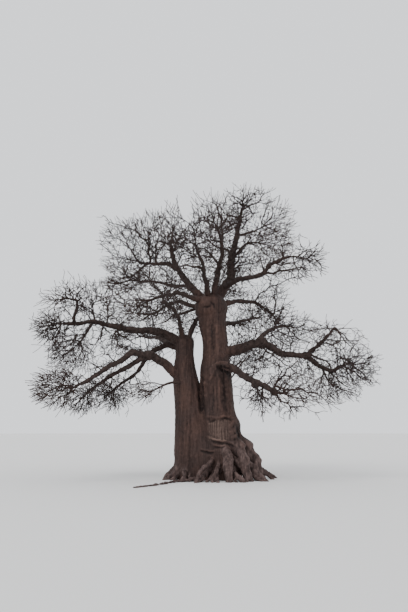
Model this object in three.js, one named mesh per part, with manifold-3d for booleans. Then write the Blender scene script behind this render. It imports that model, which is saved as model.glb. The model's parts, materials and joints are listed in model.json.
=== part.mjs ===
// A bare, twin-stemmed baobab tree: a fused trunk with its root flare, two stems, tapering boughs
// and masses of leafless twigs. Millimetres, +Z up, +X to the right and +Y away from the front.
// The origin is in the flat cut at ground level, under the middle of the trunk.
import * as THREE from "three";
import { mergeVertices } from "three/addons/utils/BufferGeometryUtils.js";
import Module from "manifold-3d";

const wasm = await Module();
wasm.setup();

// Driving sizes
const FORK_HEIGHT = 3550; // the two stems part here
const JOINT_GAP = 0.3; // clear space between one limb and the next
const CROWN_HALF = 8000; // larger than the crown on every side, for cutting
const CROWN_HEIGHT = 13000;
const BURIED = 150; // how far a root or stem is modelled below the cut before it is cut off

const STEM_SIDES = 18;
const STEM_RING_STEP = 450;
const LIMB_SIDES = 8;
const LIMB_RING_STEP = 520;
const LIMB_CROOK = 0.05; // sideways bends of a limb, as a share of its spans
const LIMB_COLLAR = 0.3; // extra girth where a limb leaves its parent
const HIDDEN_START = 0.7; // a limb is slimmer at its start, inside its parent
const ROOT_SIDES = 6;
const ROOT_RINGS = 5;

const TWIG_SIDES = 3;
const TWIG_TIP = 17; // diameter of a twig at its tip
const TWIG_STEP = 430; // spacing of the joints along a twig
const TWIG_CROOK = 0.1;
const TWIG_CLEARANCE = 6; // least space between twigs of two masses, or a twig and a limb
const TWIGS_PER_METRE = 10; // twigs of a mass for each metre of its mean reach
const FULL_REACH = 1.05; // a twig that leaves the mass's space by more than this share is skipped
const OUTER_REACH = 0.9; // most twigs stop between this share of the mass's reach and all of it
const INNER_REACH = 0.58; // every third twig stops at this share
const PATH_WEIGHT = 0.2; // how much a long way round counts when a twig picks where to join
const TURN_WEIGHT = 0.6; // how much turning back from the parent's direction counts there
const TWIG_BEND = 0.35; // share of its length over which a twig bends away from its parent
const GOLDEN_ANGLE = Math.PI * (3 - Math.sqrt(5));

// The two stems, as rings from below the ground to the top:
// height, middle x, middle y, half width along x, half width along y
const LEFT_STEM = [
  [-BURIED, -685, 150, 640, 640],
  [120, -685, 150, 610, 620],
  [500, -660, 150, 570, 590],
  [1000, -630, 150, 560, 570],
  [1700, -620, 150, 555, 560],
  [2740, -710, 150, 500, 520],
  [3280, -770, 150, 475, 495],
  [3750, -830, 150, 430, 450],
  [4380, -860, 150, 345, 370],
  [4750, -865, 150, 350, 360],
  [5000, -860, 145, 325, 325],
  [5140, -850, 130, 190, 200],
];
const RIGHT_STEM = [
  [-BURIED, 520, -100, 860, 820],
  [120, 520, -100, 800, 760],
  [500, 510, -100, 720, 720],
  [1050, 530, -100, 700, 700],
  [1600, 510, -90, 665, 670],
  [2200, 380, -60, 610, 630],
  [2740, 340, -50, 580, 600],
  [3460, 300, -40, 580, 590],
  [3850, 290, -30, 570, 570],
  [4300, 300, -20, 500, 520],
  [4900, 270, 0, 465, 490],
  [5500, 180, 0, 500, 500],
  [6060, 165, 0, 530, 510],
  [6380, 130, 0, 590, 500],
  [6540, 140, 0, 460, 400],
  [6640, 160, 0, 250, 230],
];

// Root flare. Each root leaves one stem at a bearing (degrees, 0 along +X, 90 along +Y), rises to a
// height on the stem, reaches out to a distance from the stem's middle, and bends sideways by a sway.
// Its knee is 0 where it sweeps out low over the ground and 1 where it stands out like a shoulder.
const ROOTS = [
  { stem: RIGHT_STEM, bearing: 277, rise: 1180, reach: 1380, thick: 520, thin: 190, sway: 40, knee: 0.9 },
  { stem: RIGHT_STEM, bearing: 295, rise: 640, reach: 1500, thick: 230, thin: 130, sway: -90, knee: 0.4 },
  { stem: RIGHT_STEM, bearing: 255, rise: 780, reach: 1400, thick: 240, thin: 110, sway: 70, knee: 0.5 },
  { stem: RIGHT_STEM, bearing: 238, rise: 620, reach: 1580, thick: 230, thin: 110, sway: -60, knee: 0.3 },
  { stem: RIGHT_STEM, bearing: 221, rise: 400, reach: 1750, thick: 190, thin: 90, sway: 50, knee: 0.1 },
  { stem: RIGHT_STEM, bearing: 313, rise: 1480, reach: 1300, thick: 600, thin: 160, sway: -80, knee: 1 },
  { stem: RIGHT_STEM, bearing: 326, rise: 820, reach: 1650, thick: 280, thin: 140, sway: 90, knee: 0.5 },
  { stem: RIGHT_STEM, bearing: 343, rise: 1500, reach: 1350, thick: 560, thin: 200, sway: 60, knee: 1 },
  { stem: RIGHT_STEM, bearing: 2, rise: 1620, reach: 1270, thick: 540, thin: 260, sway: -40, knee: 1 },
  { stem: RIGHT_STEM, bearing: 13, rise: 760, reach: 1950, thick: 280, thin: 110, sway: 60, knee: 0.5 },
  { stem: RIGHT_STEM, bearing: 34, rise: 1200, reach: 1560, thick: 440, thin: 150, sway: 90, knee: 0.7 },
  { stem: RIGHT_STEM, bearing: 66, rise: 850, reach: 1560, thick: 380, thin: 130, sway: -90, knee: 0.4 },
  { stem: RIGHT_STEM, bearing: 104, rise: 1050, reach: 1560, thick: 440, thin: 150, sway: 70, knee: 0.7 },
  { stem: LEFT_STEM, bearing: 76, rise: 520, reach: 1130, thick: 330, thin: 110, sway: -60, knee: 0.4 },
  { stem: LEFT_STEM, bearing: 122, rise: 620, reach: 1200, thick: 380, thin: 130, sway: 60, knee: 0.5 },
  { stem: LEFT_STEM, bearing: 170, rise: 460, reach: 930, thick: 330, thin: 130, sway: -40, knee: 0.6 },
  { stem: LEFT_STEM, bearing: 214, rise: 420, reach: 960, thick: 280, thin: 110, sway: 50, knee: 0.4 },
  { stem: LEFT_STEM, bearing: 254, rise: 380, reach: 1000, thick: 260, thin: 90, sway: 40, knee: 0.3 },
];
// One long thin root runs out along the ground, in front of the left stem.
const GROUND_ROOT = {
  path: [
    [-120, -780, 160],
    [-560, -1150, 70],
    [-1130, -1600, 40],
    [-1600, -2600, 30],
    [-2220, -3420, 15],
  ],
  thick: 110,
  thin: 60,
};

// Boughs. Each starts on the middle line of the limb that carries it and runs smoothly through the
// points of its path. Its diameters are at its start and at its end.
const BOUGHS = [
  // From the left stem
  { name: "great_left_bough", start: [-840, 150, 4790], thick: 400, thin: 110,
    path: [[-1500, -20, 5110], [-2120, -200, 5260], [-3210, -500, 5310], [-4140, -700, 5490],
      [-5180, -900, 5380]] },
  { name: "low_left_bough", start: [-860, 100, 3450], thick: 390, thin: 90,
    path: [[-1530, -100, 4030], [-2020, -400, 4300], [-2720, -800, 4340], [-3370, -1250, 3840],
      [-4120, -1700, 3250], [-4450, -1900, 3060]] },
  { name: "back_left_bough", start: [-890, 250, 4700], thick: 330, thin: 120,
    path: [[-1680, 1500, 5120], [-2420, 3000, 5480]] },
  { name: "left_stem_front_bough", start: [-880, 50, 4880], thick: 210, thin: 90,
    path: [[-1030, -800, 5530], [-1360, -2400, 5780]] },
  { name: "left_stem_back_bough", start: [-760, 200, 4880], thick: 230, thin: 100,
    path: [[-460, 1000, 5820], [-160, 2000, 6500], [300, 3200, 7300]] },
  // From the right stem
  { name: "great_right_bough", start: [300, -100, 4280], thick: 460, thin: 150,
    path: [[1120, -180, 4560], [1540, -250, 4720], [1970, -300, 4780], [2580, -420, 4390],
      [3270, -580, 4280], [3620, -680, 4300]] },
  { name: "low_right_bough", start: [360, -250, 4050], thick: 310, thin: 170,
    path: [[830, -750, 3830], [1170, -970, 3560], [1600, -1220, 3300], [2200, -1600, 2950]] },
  { name: "right_middle_bough", start: [250, 50, 6220], thick: 210, thin: 90,
    path: [[1160, 600, 6530], [1910, 1200, 6580], [2600, 1800, 6260]] },
  { name: "back_right_bough", start: [300, 100, 5350], thick: 230, thin: 100,
    path: [[1050, 1350, 5800], [2000, 2900, 6300]] },
  { name: "right_leader", start: [300, 0, 6350], thick: 400, thin: 100,
    path: [[880, 100, 7310], [930, 200, 8250], [1140, 350, 9100], [1270, 400, 9730],
      [1340, 400, 10150]] },
  { name: "left_leader", start: [0, 0, 6300], thick: 330, thin: 130,
    path: [[-810, -200, 7120], [-1090, -400, 7490], [-1320, -600, 8040]] },
  { name: "middle_leader", start: [200, -100, 6420], thick: 250, thin: 110,
    path: [[370, -700, 7290], [520, -1200, 7790], [460, -1600, 8290]] },
  { name: "front_leader", start: [40, -150, 6420], thick: 210, thin: 100,
    path: [[-60, -900, 6900], [-150, -1900, 7080], [-300, -2900, 7300]] },
  { name: "mid_left_front_bough", start: [-100, -150, 6350], thick: 190, thin: 80,
    path: [[-1030, -1000, 6470], [-1490, -1700, 6240], [-1870, -2400, 5910]] },
  { name: "mid_left_back_bough", start: [-100, 150, 6180], thick: 190, thin: 80,
    path: [[-1030, 900, 6560], [-1700, 1600, 6540], [-2270, 2200, 6340]] },
  // From other boughs
  { name: "upper_left_bough", start: [-1080, -390, 7480], thick: 210, thin: 100,
    path: [[-1450, -200, 7770], [-2000, 100, 7850], [-2450, 350, 7950]] },
  { name: "upper_right_bough", start: [610, 0, 6900], thick: 220, thin: 80,
    path: [[1090, -900, 7000], [1820, -2200, 6840], [2070, -2500, 7100], [2550, -2850, 7240],
      [2980, -3050, 7200]] },
  { name: "upper_left_long_bough", start: [-500, -120, 6800], thick: 180,
    thin: 80, path: [[-880, 300, 7050], [-1840, 1400, 7450], [-2770, 2400, 7760]] },
  { name: "left_hook_bough", start: [-4800, -840, 5440], thick: 130, thin: 70,
    path: [[-4660, -900, 5950], [-4680, -900, 6220], [-4970, -920, 6280]] },
  { name: "low_left_middle_bough", start: [-2200, -500, 4300], thick: 230,
    thin: 100, path: [[-2770, -600, 3910], [-3480, -500, 3560], [-4090, -400, 3150]] },
  { name: "right_rising_bough", start: [3500, -645, 4295], thick: 180,
    thin: 90, path: [[4190, -600, 4870], [4560, -500, 5290]] },
  { name: "right_dipping_bough", start: [3430, -625, 4290], thick: 190,
    thin: 110, path: [[3920, -850, 3860], [4340, -1000, 3700], [4780, -1100, 3920]] },
  { name: "right_inner_bough", start: [1750, -275, 4760], thick: 210,
    thin: 90, path: [[2270, 400, 5330], [3010, 1400, 5700]] },
  // From the left stem, under the great left bough
  { name: "inner_left_bough", start: [-880, 250, 4620], thick: 270, thin: 90,
    path: [[-1520, 450, 4830], [-2080, 420, 4550], [-2360, 400, 4210], [-2730, 350, 3660],
      [-3370, 300, 3210]] },
];

// Masses of twigs. Each keeps to an egg-shaped space with a middle and a reach along x, y and z. Its
// stem carries on from its bough's tip, or leaves the middle line of a limb at "start", and runs by
// way of "path" to the middle. "thick" is the stem's diameter where it doesn't carry on from a tip.
const MASSES = [
  { name: "left_tip_twigs", bough: "great_left_bough", middle: [-5580, -980, 5290],
    reach: [700, 950, 560] },
  { name: "left_hook_twigs", bough: "left_hook_bough", middle: [-5420, -920, 6220],
    reach: [740, 850, 560] },
  { name: "left_upper_twigs", bough: "great_left_bough", start: [-4040, -680, 5480], thick: 80,
    path: [[-4180, -560, 6080]], middle: [-4280, -400, 6480], reach: [820, 950, 680] },
  { name: "left_drop_twigs", bough: "great_left_bough", start: [-4140, -700, 5470], thick: 130,
    path: [[-4330, -900, 4990], [-4570, -1100, 4600]], middle: [-4720, -1200, 4400],
    reach: [850, 1000, 720] },
  { name: "low_left_front_twigs", bough: "low_left_bough", middle: [-4950, -2100, 3080],
    reach: [850, 1050, 680] },
  { name: "low_left_middle_twigs", bough: "low_left_middle_bough", middle: [-4500, -300, 2820],
    reach: [800, 850, 560] },
  { name: "low_left_back_twigs", bough: "inner_left_bough", middle: [-3750, 850, 2950],
    reach: [850, 1100, 560] },
  { name: "low_left_inner_twigs", bough: "trunk", start: [-740, 0, 3330], thick: 110,
    path: [[-1280, -500, 3330], [-1800, -850, 3080]], middle: [-2150, -1000, 3000],
    reach: [650, 800, 380] },
  { name: "back_left_twigs", bough: "back_left_bough", middle: [-2850, 3750, 5650],
    reach: [1300, 1250, 950] },
  { name: "left_stem_front_twigs", bough: "left_stem_front_bough", middle: [-1500, -3350, 5950],
    reach: [1050, 1250, 800] },
  { name: "mid_left_front_twigs", bough: "mid_left_front_bough", middle: [-2450, -3000, 5750],
    reach: [1050, 1150, 650] },
  { name: "mid_left_back_twigs", bough: "mid_left_back_bough", middle: [-3050, 2500, 6450],
    reach: [1150, 1150, 650] },
  { name: "back_twigs", bough: "left_stem_back_bough", middle: [500, 3850, 7900],
    reach: [1450, 1300, 1050] },
  { name: "upper_left_long_twigs", bough: "upper_left_long_bough", middle: [-3450, 2600, 8100],
    reach: [1150, 1300, 880] },
  { name: "upper_left_outer_twigs", bough: "upper_left_bough", middle: [-3120, 700, 8780],
    reach: [1180, 1300, 1050] },
  { name: "upper_left_inner_twigs", bough: "upper_left_bough", start: [-1950, 70, 7850], thick: 100,
    path: [[-1990, 160, 8350]], middle: [-2100, 250, 8950], reach: [900, 1300, 1050] },
  { name: "left_leader_twigs", bough: "left_leader", middle: [-1300, -800, 8850],
    reach: [850, 1250, 1080] },
  { name: "front_leader_twigs", bough: "front_leader", middle: [-450, -3750, 7850],
    reach: [1250, 1350, 900] },
  { name: "middle_leader_twigs", bough: "middle_leader", middle: [180, -1750, 8950],
    reach: [1000, 1200, 1020] },
  { name: "crown_back_twigs", bough: "right_leader", start: [940, 210, 8300], thick: 120,
    path: [[500, 1000, 8800]], middle: [0, 2000, 9450], reach: [1150, 1350, 950] },
  { name: "right_leader_twigs", bough: "right_leader", middle: [1480, 380, 10330],
    reach: [980, 1150, 950] },
  { name: "right_leader_side_twigs", bough: "right_leader", start: [1120, 340, 9050], thick: 130,
    path: [[1860, 600, 9350], [2290, 850, 9650]], middle: [2650, 1050, 9900],
    reach: [950, 1200, 930] },
  { name: "upper_right_inner_twigs", bough: "right_leader", start: [920, 190, 8100], thick: 120,
    path: [[1340, -100, 8480], [1740, -400, 8560]], middle: [2250, -650, 8350],
    reach: [1080, 1200, 760] },
  { name: "upper_right_outer_twigs", bough: "upper_right_bough", middle: [3080, -3050, 7020],
    reach: [1150, 1050, 560] },
  { name: "right_middle_twigs", bough: "right_middle_bough", middle: [2780, 2000, 6760],
    reach: [850, 1150, 850] },
  { name: "back_right_twigs", bough: "back_right_bough", middle: [2500, 3650, 6650],
    reach: [1250, 1300, 950] },
  { name: "low_back_twigs", bough: "trunk", start: [400, 200, 3200], thick: 190,
    path: [[900, 1300, 3650], [1200, 2500, 4250]], middle: [1500, 3400, 4650],
    reach: [1200, 1300, 850] },
  { name: "right_inner_twigs", bough: "right_inner_bough", middle: [3500, 1700, 5680],
    reach: [1080, 1200, 680] },
  { name: "right_rising_twigs", bough: "right_rising_bough", middle: [4780, -550, 5000],
    reach: [1200, 1350, 680] },
  { name: "right_dipping_twigs", bough: "right_dipping_bough", middle: [5150, -1200, 3720],
    reach: [1050, 1250, 720] },
  { name: "right_hanging_twigs", bough: "right_dipping_bough", start: [4000, -880, 3810], thick: 90,
    path: [[4120, -950, 3450]], middle: [4350, -1000, 3150], reach: [880, 1000, 520] },
  { name: "low_right_twigs", bough: "low_right_bough", middle: [2850, -2150, 3000],
    reach: [1050, 1150, 620] },
  { name: "low_right_hanging_twigs", bough: "low_right_bough", start: [1600, -1220, 3300], thick: 80,
    path: [[1640, -1500, 3050]], middle: [1680, -1900, 2780], reach: [750, 950, 450] },
];

// Bark and twig colours
const bark = (color, roughness) => new THREE.MeshStandardMaterial({ color, roughness, metalness: 0 });
const TRUNK_BARK = bark(0x6b5850, 0.85);
const BOUGH_BARK = bark(0x54453f, 0.88);
const TWIG_BARK = bark(0x43373a, 0.9);

const point = (numbers) => new THREE.Vector3(...numbers);
const smoothCurve = (points) => new THREE.CatmullRomCurve3(points, false, "catmullrom", 0.5);

// Repeatable numbers from 0 to 1
function seeded(seed) {
  let state = seed >>> 0;
  return () => {
    state = (Math.imul(state, 1664525) + 1013904223) >>> 0;
    return state / 4294967296;
  };
}

// A closed solid through rings of points, with flat ends.
function loft(rings) {
  const sides = rings[0].length;
  const faces = [];
  for (let ring = 0; ring + 1 < rings.length; ring++) {
    for (let side = 0; side < sides; side++) {
      const here = ring * sides + side;
      const next = ring * sides + ((side + 1) % sides);
      faces.push(here, next, next + sides, here, next + sides, here + sides);
    }
  }
  const last = (rings.length - 1) * sides;
  for (let side = 1; side + 1 < sides; side++) {
    faces.push(0, side + 1, side);
    faces.push(last, last + side, last + side + 1);
  }
  const vertProperties = new Float32Array(rings.flat().flatMap((at) => at.toArray()));
  const triVerts = new Uint32Array(faces);
  return new wasm.Manifold(new wasm.Mesh({ numProp: 3, vertProperties, triVerts }));
}

// A box-shaped solid between two heights, as wide as the crown.
function slab(low, high) {
  const box = new THREE.BoxGeometry(2 * CROWN_HALF, 2 * CROWN_HALF, high - low);
  box.translate(0, 0, (low + high) / 2);
  box.deleteAttribute("normal");
  box.deleteAttribute("uv");
  const merged = mergeVertices(box);
  const vertProperties = merged.attributes.position.array;
  const triVerts = new Uint32Array(merged.index.array);
  return new wasm.Manifold(new wasm.Mesh({ numProp: 3, vertProperties, triVerts }));
}

// Level rings of a stem, smoothly in between the rows of its table and wider all round by "spare".
function stemSolid(rows, spare) {
  const middles = smoothCurve(rows.map(([z, x, y]) => point([x, y, z])));
  const widths = smoothCurve(rows.map(([, , , wide, deep]) => point([wide, deep, 0])));
  const count = Math.round((rows.at(-1)[0] - rows[0][0]) / STEM_RING_STEP);
  const rings = [];
  for (let ring = 0; ring <= count; ring++) {
    const middle = middles.getPoint(ring / count);
    const { x: wide, y: deep } = widths.getPoint(ring / count);
    rings.push(Array.from({ length: STEM_SIDES }, (_, side) => {
      const angle = (2 * Math.PI * side) / STEM_SIDES;
      const out = point([(wide + spare) * Math.cos(angle), (deep + spare) * Math.sin(angle), 0]);
      return out.add(middle);
    }));
  }
  return loft(rings);
}

// A push in any direction, up to half of a size along each axis
const shake = (random, size) => point([random() - 0.5, random() - 0.5, random() - 0.5]).multiplyScalar(size);

// Points with one more in the middle of each span, pushed sideways by a share of the span.
function crooked(points, share, random) {
  const bent = [points[0]];
  for (let i = 1; i < points.length; i++) {
    const span = points[i].distanceTo(points[i - 1]);
    const middle = points[i].clone().add(points[i - 1]).multiplyScalar(0.5);
    bent.push(middle.add(shake(random, 2 * share * span)), points[i]);
  }
  return bent;
}

// Rings square to a line of points; the first ring's turn is carried along so that nothing twists.
function ringsAlong(points, radii, sides) {
  const frame = new THREE.Vector3(0, 0, 1);
  return points.map((middle, i) => {
    const ahead = points[Math.min(i + 1, points.length - 1)];
    const behind = points[Math.max(i - 1, 0)];
    const along = ahead.clone().sub(behind).normalize();
    if (i === 0 && Math.abs(along.z) > 0.9) frame.set(1, 0, 0);
    const across = frame.clone().addScaledVector(along, -frame.dot(along)).normalize();
    const third = along.clone().cross(across);
    frame.copy(across);
    return Array.from({ length: sides }, (_, side) => {
      const angle = (2 * Math.PI * side) / sides;
      const out = across.clone().multiplyScalar(radii[i] * Math.cos(angle));
      return out.addScaledVector(third, radii[i] * Math.sin(angle)).add(middle);
    });
  });
}

// A limb's middle line and radii: a smooth crooked curve that tapers, with a collar at its start.
function limbLine(row, seed) {
  const through = crooked([row.start, ...row.path].map(point), LIMB_CROOK, seeded(seed));
  const curve = smoothCurve(through);
  const count = Math.max(4, Math.round(curve.getLength() / LIMB_RING_STEP));
  const points = curve.getPoints(count);
  const radii = points.map((_, i) => {
    const share = i / count;
    const taper = row.thick + (row.thin - row.thick) * share ** 0.8;
    return (taper / 2) * (1 + LIMB_COLLAR * Math.exp(-share * 9));
  });
  radii[0] *= HIDDEN_START;
  return { points, radii };
}

// A limb as a solid, wider by "spare" and longer by it at both ends.
function limbSolid({ points, radii }, sides, spare) {
  const longer = points.map((at) => at.clone());
  longer[0].addScaledVector(points[0].clone().sub(points[1]).normalize(), spare);
  longer.at(-1).addScaledVector(points.at(-1).clone().sub(points.at(-2)).normalize(), spare);
  return loft(ringsAlong(longer, radii.map((r) => r + spare), sides));
}

// A root: out of its stem's middle, down over the flare and under the ground cut.
function rootLine({ stem, bearing, rise, reach, thick, thin, sway, knee }) {
  const [, x, y, wide] = stem.find(([z]) => z >= 500);
  const angle = THREE.MathUtils.degToRad(bearing);
  const out = (distance, side, height) => point([
    x + distance * Math.cos(angle) - side * Math.sin(angle),
    y + distance * Math.sin(angle) + side * Math.cos(angle),
    height,
  ]);
  const curve = smoothCurve([
    out(wide * 0.5, 0, rise + thick * 0.45),
    out(wide * (0.84 + 0.08 * knee), sway * 0.2, rise * (0.72 + 0.12 * knee)),
    out(wide + (reach - wide) * (0.4 + 0.26 * knee), sway, rise * (0.24 + 0.24 * knee)),
    out(reach, sway * 0.4, -thin * 0.1),
    out(reach + thin, 0, -thin * 0.9),
  ]);
  const points = curve.getPoints(ROOT_RINGS);
  const radii = points.map((_, i) => (thick + (thin - thick) * (i / ROOT_RINGS) ** 0.7) / 2);
  return { points, radii };
}

function groundRootLine() {
  const points = GROUND_ROOT.path.map(point);
  const { thick, thin } = GROUND_ROOT;
  return { points, radii: points.map((_, i) => (thick + ((thin - thick) * i) / (points.length - 1)) / 2) };
}

// The fused trunk up to the fork, wider and taller by "spare".
function trunkSolid(spare) {
  let trunk = stemSolid(LEFT_STEM, spare).add(stemSolid(RIGHT_STEM, spare));
  for (const line of [...ROOTS.map(rootLine), groundRootLine()]) {
    trunk = trunk.add(limbSolid(line, ROOT_SIDES, spare));
  }
  return trunk.intersect(slab(-spare, FORK_HEIGHT + spare));
}

// The largest of the separate bodies of a solid; the loose scraps are dropped.
const largest = (solid) => solid.decompose()
  .reduce((best, body) => (body.volume() > best.volume() ? body : best));

const grown = new Map(); // each finished limb, wider by the joint gap, to keep the others clear of it
const lines = new Map(); // each limb's middle line and radii
const tree = new THREE.Group();

function place(name, solid, material) {
  const { vertProperties, triVerts } = solid.getMesh();
  const geometry = new THREE.BufferGeometry();
  geometry.setAttribute("position", new THREE.BufferAttribute(vertProperties, 3));
  geometry.setIndex(new THREE.BufferAttribute(triVerts, 1));
  geometry.computeVertexNormals();
  const mesh = new THREE.Mesh(geometry, material);
  mesh.name = name;
  tree.add(mesh);
}

function clearOfLimbs(solid) {
  let left = solid;
  for (const other of grown.values()) left = left.subtract(other);
  return largest(left);
}

// A stem as a limb line, for the twigs that must stay clear of it.
function stemLine(rows, low, high) {
  const row = rows.findIndex(([z]) => z > low);
  const inside = rows.slice(Math.max(row - 1, 0)).filter(([z], i, rest) => i === 0 || rest[i - 1][0] < high);
  return {
    points: inside.map(([z, x, y]) => point([x, y, z])),
    radii: inside.map(([, , , wide, deep]) => Math.max(wide, deep)),
  };
}

// Distance between two straight segments
function segmentDistance(a, b, c, d) {
  const [u, v, w] = [b.clone().sub(a), d.clone().sub(c), a.clone().sub(c)];
  const [uu, uv, vv, uw, vw] = [u.dot(u), u.dot(v), v.dot(v), u.dot(w), v.dot(w)];
  const clamp = (t) => THREE.MathUtils.clamp(t, 0, 1);
  const square = uu * vv - uv * uv;
  let s = square > 1e-6 ? clamp((uv * vw - vv * uw) / square) : 0;
  const t = clamp((uv * s + vw) / Math.max(vv, 1e-9));
  s = clamp((uv * t - uw) / Math.max(uu, 1e-9));
  return w.addScaledVector(u, s).addScaledVector(v, -t).length();
}

function nearLimb(a, b, radius) {
  for (const { points, radii } of lines.values()) {
    for (let i = 0; i + 1 < points.length; i++) {
      const least = Math.max(radii[i], radii[i + 1]) + radius + TWIG_CLEARANCE;
      if (segmentDistance(a, b, points[i], points[i + 1]) < least) return true;
    }
  }
  return false;
}

const twigSegments = []; // every twig segment of the masses made so far

const nearTwigs = (a, b, radius, mass) => twigSegments.some((other) => other.mass !== mass
  && segmentDistance(a, b, other.a, other.b) < radius + other.radius + TWIG_CLEARANCE);

// How far out in its own space a place lies: 1 is the edge.
function outness(mass, at) {
  const from = at.clone().sub(point(mass.middle));
  return Math.hypot(from.x / mass.reach[0], from.y / mass.reach[1], from.z / mass.reach[2]);
}

const ownPlace = (mass, at) => MASSES.every(
  (other) => other === mass || outness(other, at) > outness(mass, at),
);

// Even directions over a ball, each at its share of the mass's reach.
function twigEnds(mass, random) {
  const count = Math.round((TWIGS_PER_METRE * (mass.reach[0] + mass.reach[1] + mass.reach[2])) / 3000);
  return Array.from({ length: count }, (_, i) => {
    const height = 1 - (2 * i + 1) / count;
    const turn = i * GOLDEN_ANGLE + random();
    const flat = Math.sqrt(1 - height * height);
    const share = i % 3 === 2 ? INNER_REACH : OUTER_REACH + (1 - OUTER_REACH) * random();
    return point([flat * Math.cos(turn) * share, flat * Math.sin(turn) * share, height * share])
      .multiply(point(mass.reach)).add(point(mass.middle));
  });
}

// Joints from one place to another, about one twig step apart. They set off along a heading, bend
// towards the end, and are crooked by a share of the span.
function joints(from, heading, to, random) {
  const span = from.distanceTo(to);
  const count = Math.max(2, Math.round(span / TWIG_STEP));
  const bend = from.clone().addScaledVector(heading, span * TWIG_BEND);
  return Array.from({ length: count }, (_, i) => {
    if (i + 1 === count) return to;
    const share = (i + 1) / count;
    return from.clone().multiplyScalar((1 - share) ** 2).addScaledVector(bend, 2 * share * (1 - share))
      .addScaledVector(to, share * share).add(shake(random, (2 * TWIG_CROOK * span) / count));
  });
}

// The twigs of one mass: a stem first, then each twig's end joins the nearest joint, counting the
// way back to the stem as well, so that it branches evenly. Returns joints with their parents.
function growTwigs(mass, seed) {
  const random = seeded(seed);
  const host = lines.get(mass.bough);
  const tip = host.points.at(-1);
  const along = tip.clone().sub(host.points.at(-2)).normalize();
  const first = mass.start ? point(mass.start) : tip.clone().addScaledVector(along, JOINT_GAP);
  const thick = mass.start ? mass.thick : 2 * host.radii.at(-1);
  const nodes = [{ at: first, parent: -1, way: 0, heading: along }];
  const extend = (parent, places) => {
    const run = [parent];
    for (const at of places) {
      const from = run.at(-1);
      const step = at.clone().sub(nodes[from].at);
      nodes.push({ at, parent: from, way: nodes[from].way + step.length(), heading: step.normalize() });
      run.push(nodes.length - 1);
    }
    return run;
  };
  const stem = [0];
  for (const stop of [...(mass.path ?? []), mass.middle].map(point)) {
    const last = nodes.length - 1;
    const heading = mass.start && last === 0 ? stop.clone().sub(first).normalize() : nodes[last].heading;
    stem.push(...extend(last, joints(nodes[last].at, heading, stop, random)).slice(1));
  }
  const runs = [stem]; // each run of joints is one twig
  const ends = twigEnds(mass, random).filter((end) => ownPlace(mass, end));
  ends.sort((a, b) => a.distanceTo(first) - b.distanceTo(first));
  for (const end of ends) {
    let best = 1;
    let least = Infinity;
    for (let i = 1; i < nodes.length; i++) {
      const off = end.clone().sub(nodes[i].at);
      const span = off.length();
      const turn = 1 - off.dot(nodes[i].heading) / Math.max(span, 1);
      const cost = span * (1 + TURN_WEIGHT * turn) + PATH_WEIGHT * nodes[i].way;
      if (cost < least) [best, least] = [i, cost];
    }
    const places = joints(nodes[best].at, nodes[best].heading, end, random);
    const steps = [nodes[best].at, ...places];
    const skipped = places.some((at, i) => nearLimb(steps[i], at, TWIG_TIP)
      || nearTwigs(steps[i], at, TWIG_TIP, mass.name) || outness(mass, at) > FULL_REACH);
    if (!skipped) runs.push(extend(best, places));
  }
  return { nodes, runs, thick };
}

// Radii by the number of tips that a joint carries, from the stem's own down to a tip's.
function twigRadii(nodes, thick) {
  const carried = nodes.map(() => 0);
  const hasChild = new Set(nodes.map(({ parent }) => parent));
  nodes.forEach((_, i) => {
    if (hasChild.has(i)) return;
    for (let up = i; up >= 0; up = nodes[up].parent) carried[up]++;
  });
  const power = Math.log(thick / TWIG_TIP) / Math.log(Math.max(2, carried[0]));
  return carried.map((tips) => (TWIG_TIP / 2) * tips ** power);
}

function twigSolid(mass, seed) {
  const { nodes, runs, thick } = growTwigs(mass, seed);
  const radii = twigRadii(nodes, thick);
  let solid = null;
  runs.forEach((run, index) => {
    const points = run.map((i) => nodes[i].at);
    // A side twig starts no thicker than its own next joint.
    const widths = run.map((i, step) => (step === 0 && index > 0 ? radii[run[1]] : radii[i]));
    const twig = loft(ringsAlong(points, widths, TWIG_SIDES));
    solid = solid ? solid.add(twig) : twig;
    for (let i = 0; i + 1 < points.length; i++) {
      const radius = Math.max(widths[i], widths[i + 1]);
      twigSegments.push({ a: points[i], b: points[i + 1], radius, mass: mass.name });
    }
  });
  return clearOfLimbs(solid);
}

// Trunk and the two stems above its fork
place("trunk", trunkSolid(0), TRUNK_BARK);
grown.set("trunk", trunkSolid(JOINT_GAP));
const STEMS = [["left_stem", LEFT_STEM], ["right_stem", RIGHT_STEM]];
for (const [name, rows] of STEMS) {
  const above = slab(FORK_HEIGHT + JOINT_GAP, CROWN_HEIGHT);
  place(name, stemSolid(rows, 0).intersect(above), TRUNK_BARK);
  grown.set(name, stemSolid(rows, JOINT_GAP).intersect(above));
  lines.set(name, stemLine(rows, FORK_HEIGHT, CROWN_HEIGHT));
}
lines.set("trunk", stemLine(RIGHT_STEM, 0, FORK_HEIGHT));
lines.set("trunk_left_half", stemLine(LEFT_STEM, 0, FORK_HEIGHT));

// Boughs, each clear of every limb before it
BOUGHS.forEach((row, i) => {
  const line = limbLine(row, i + 1);
  place(row.name, clearOfLimbs(limbSolid(line, LIMB_SIDES, 0)), BOUGH_BARK);
  grown.set(row.name, limbSolid(line, LIMB_SIDES, JOINT_GAP));
  lines.set(row.name, line);
});

// Masses of twigs
MASSES.forEach((mass, i) => place(mass.name, twigSolid(mass, 101 + i), TWIG_BARK));

export default tree;
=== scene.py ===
"""A bare, twin-stemmed baobab tree: bark over its trunk, roots and boughs, and its leafless twigs.

Metres, +Z up, +X to the right and +Y away from the front. The limbs and the first twigs follow the
same tables and the same seeded rule as the solids, and finer twigs grow on from there.
"""
import json
import math

import bmesh
import bpy
import numpy as np
from bpy.props import FloatProperty, FloatVectorProperty, IntProperty, PointerProperty
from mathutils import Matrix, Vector, noise

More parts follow.
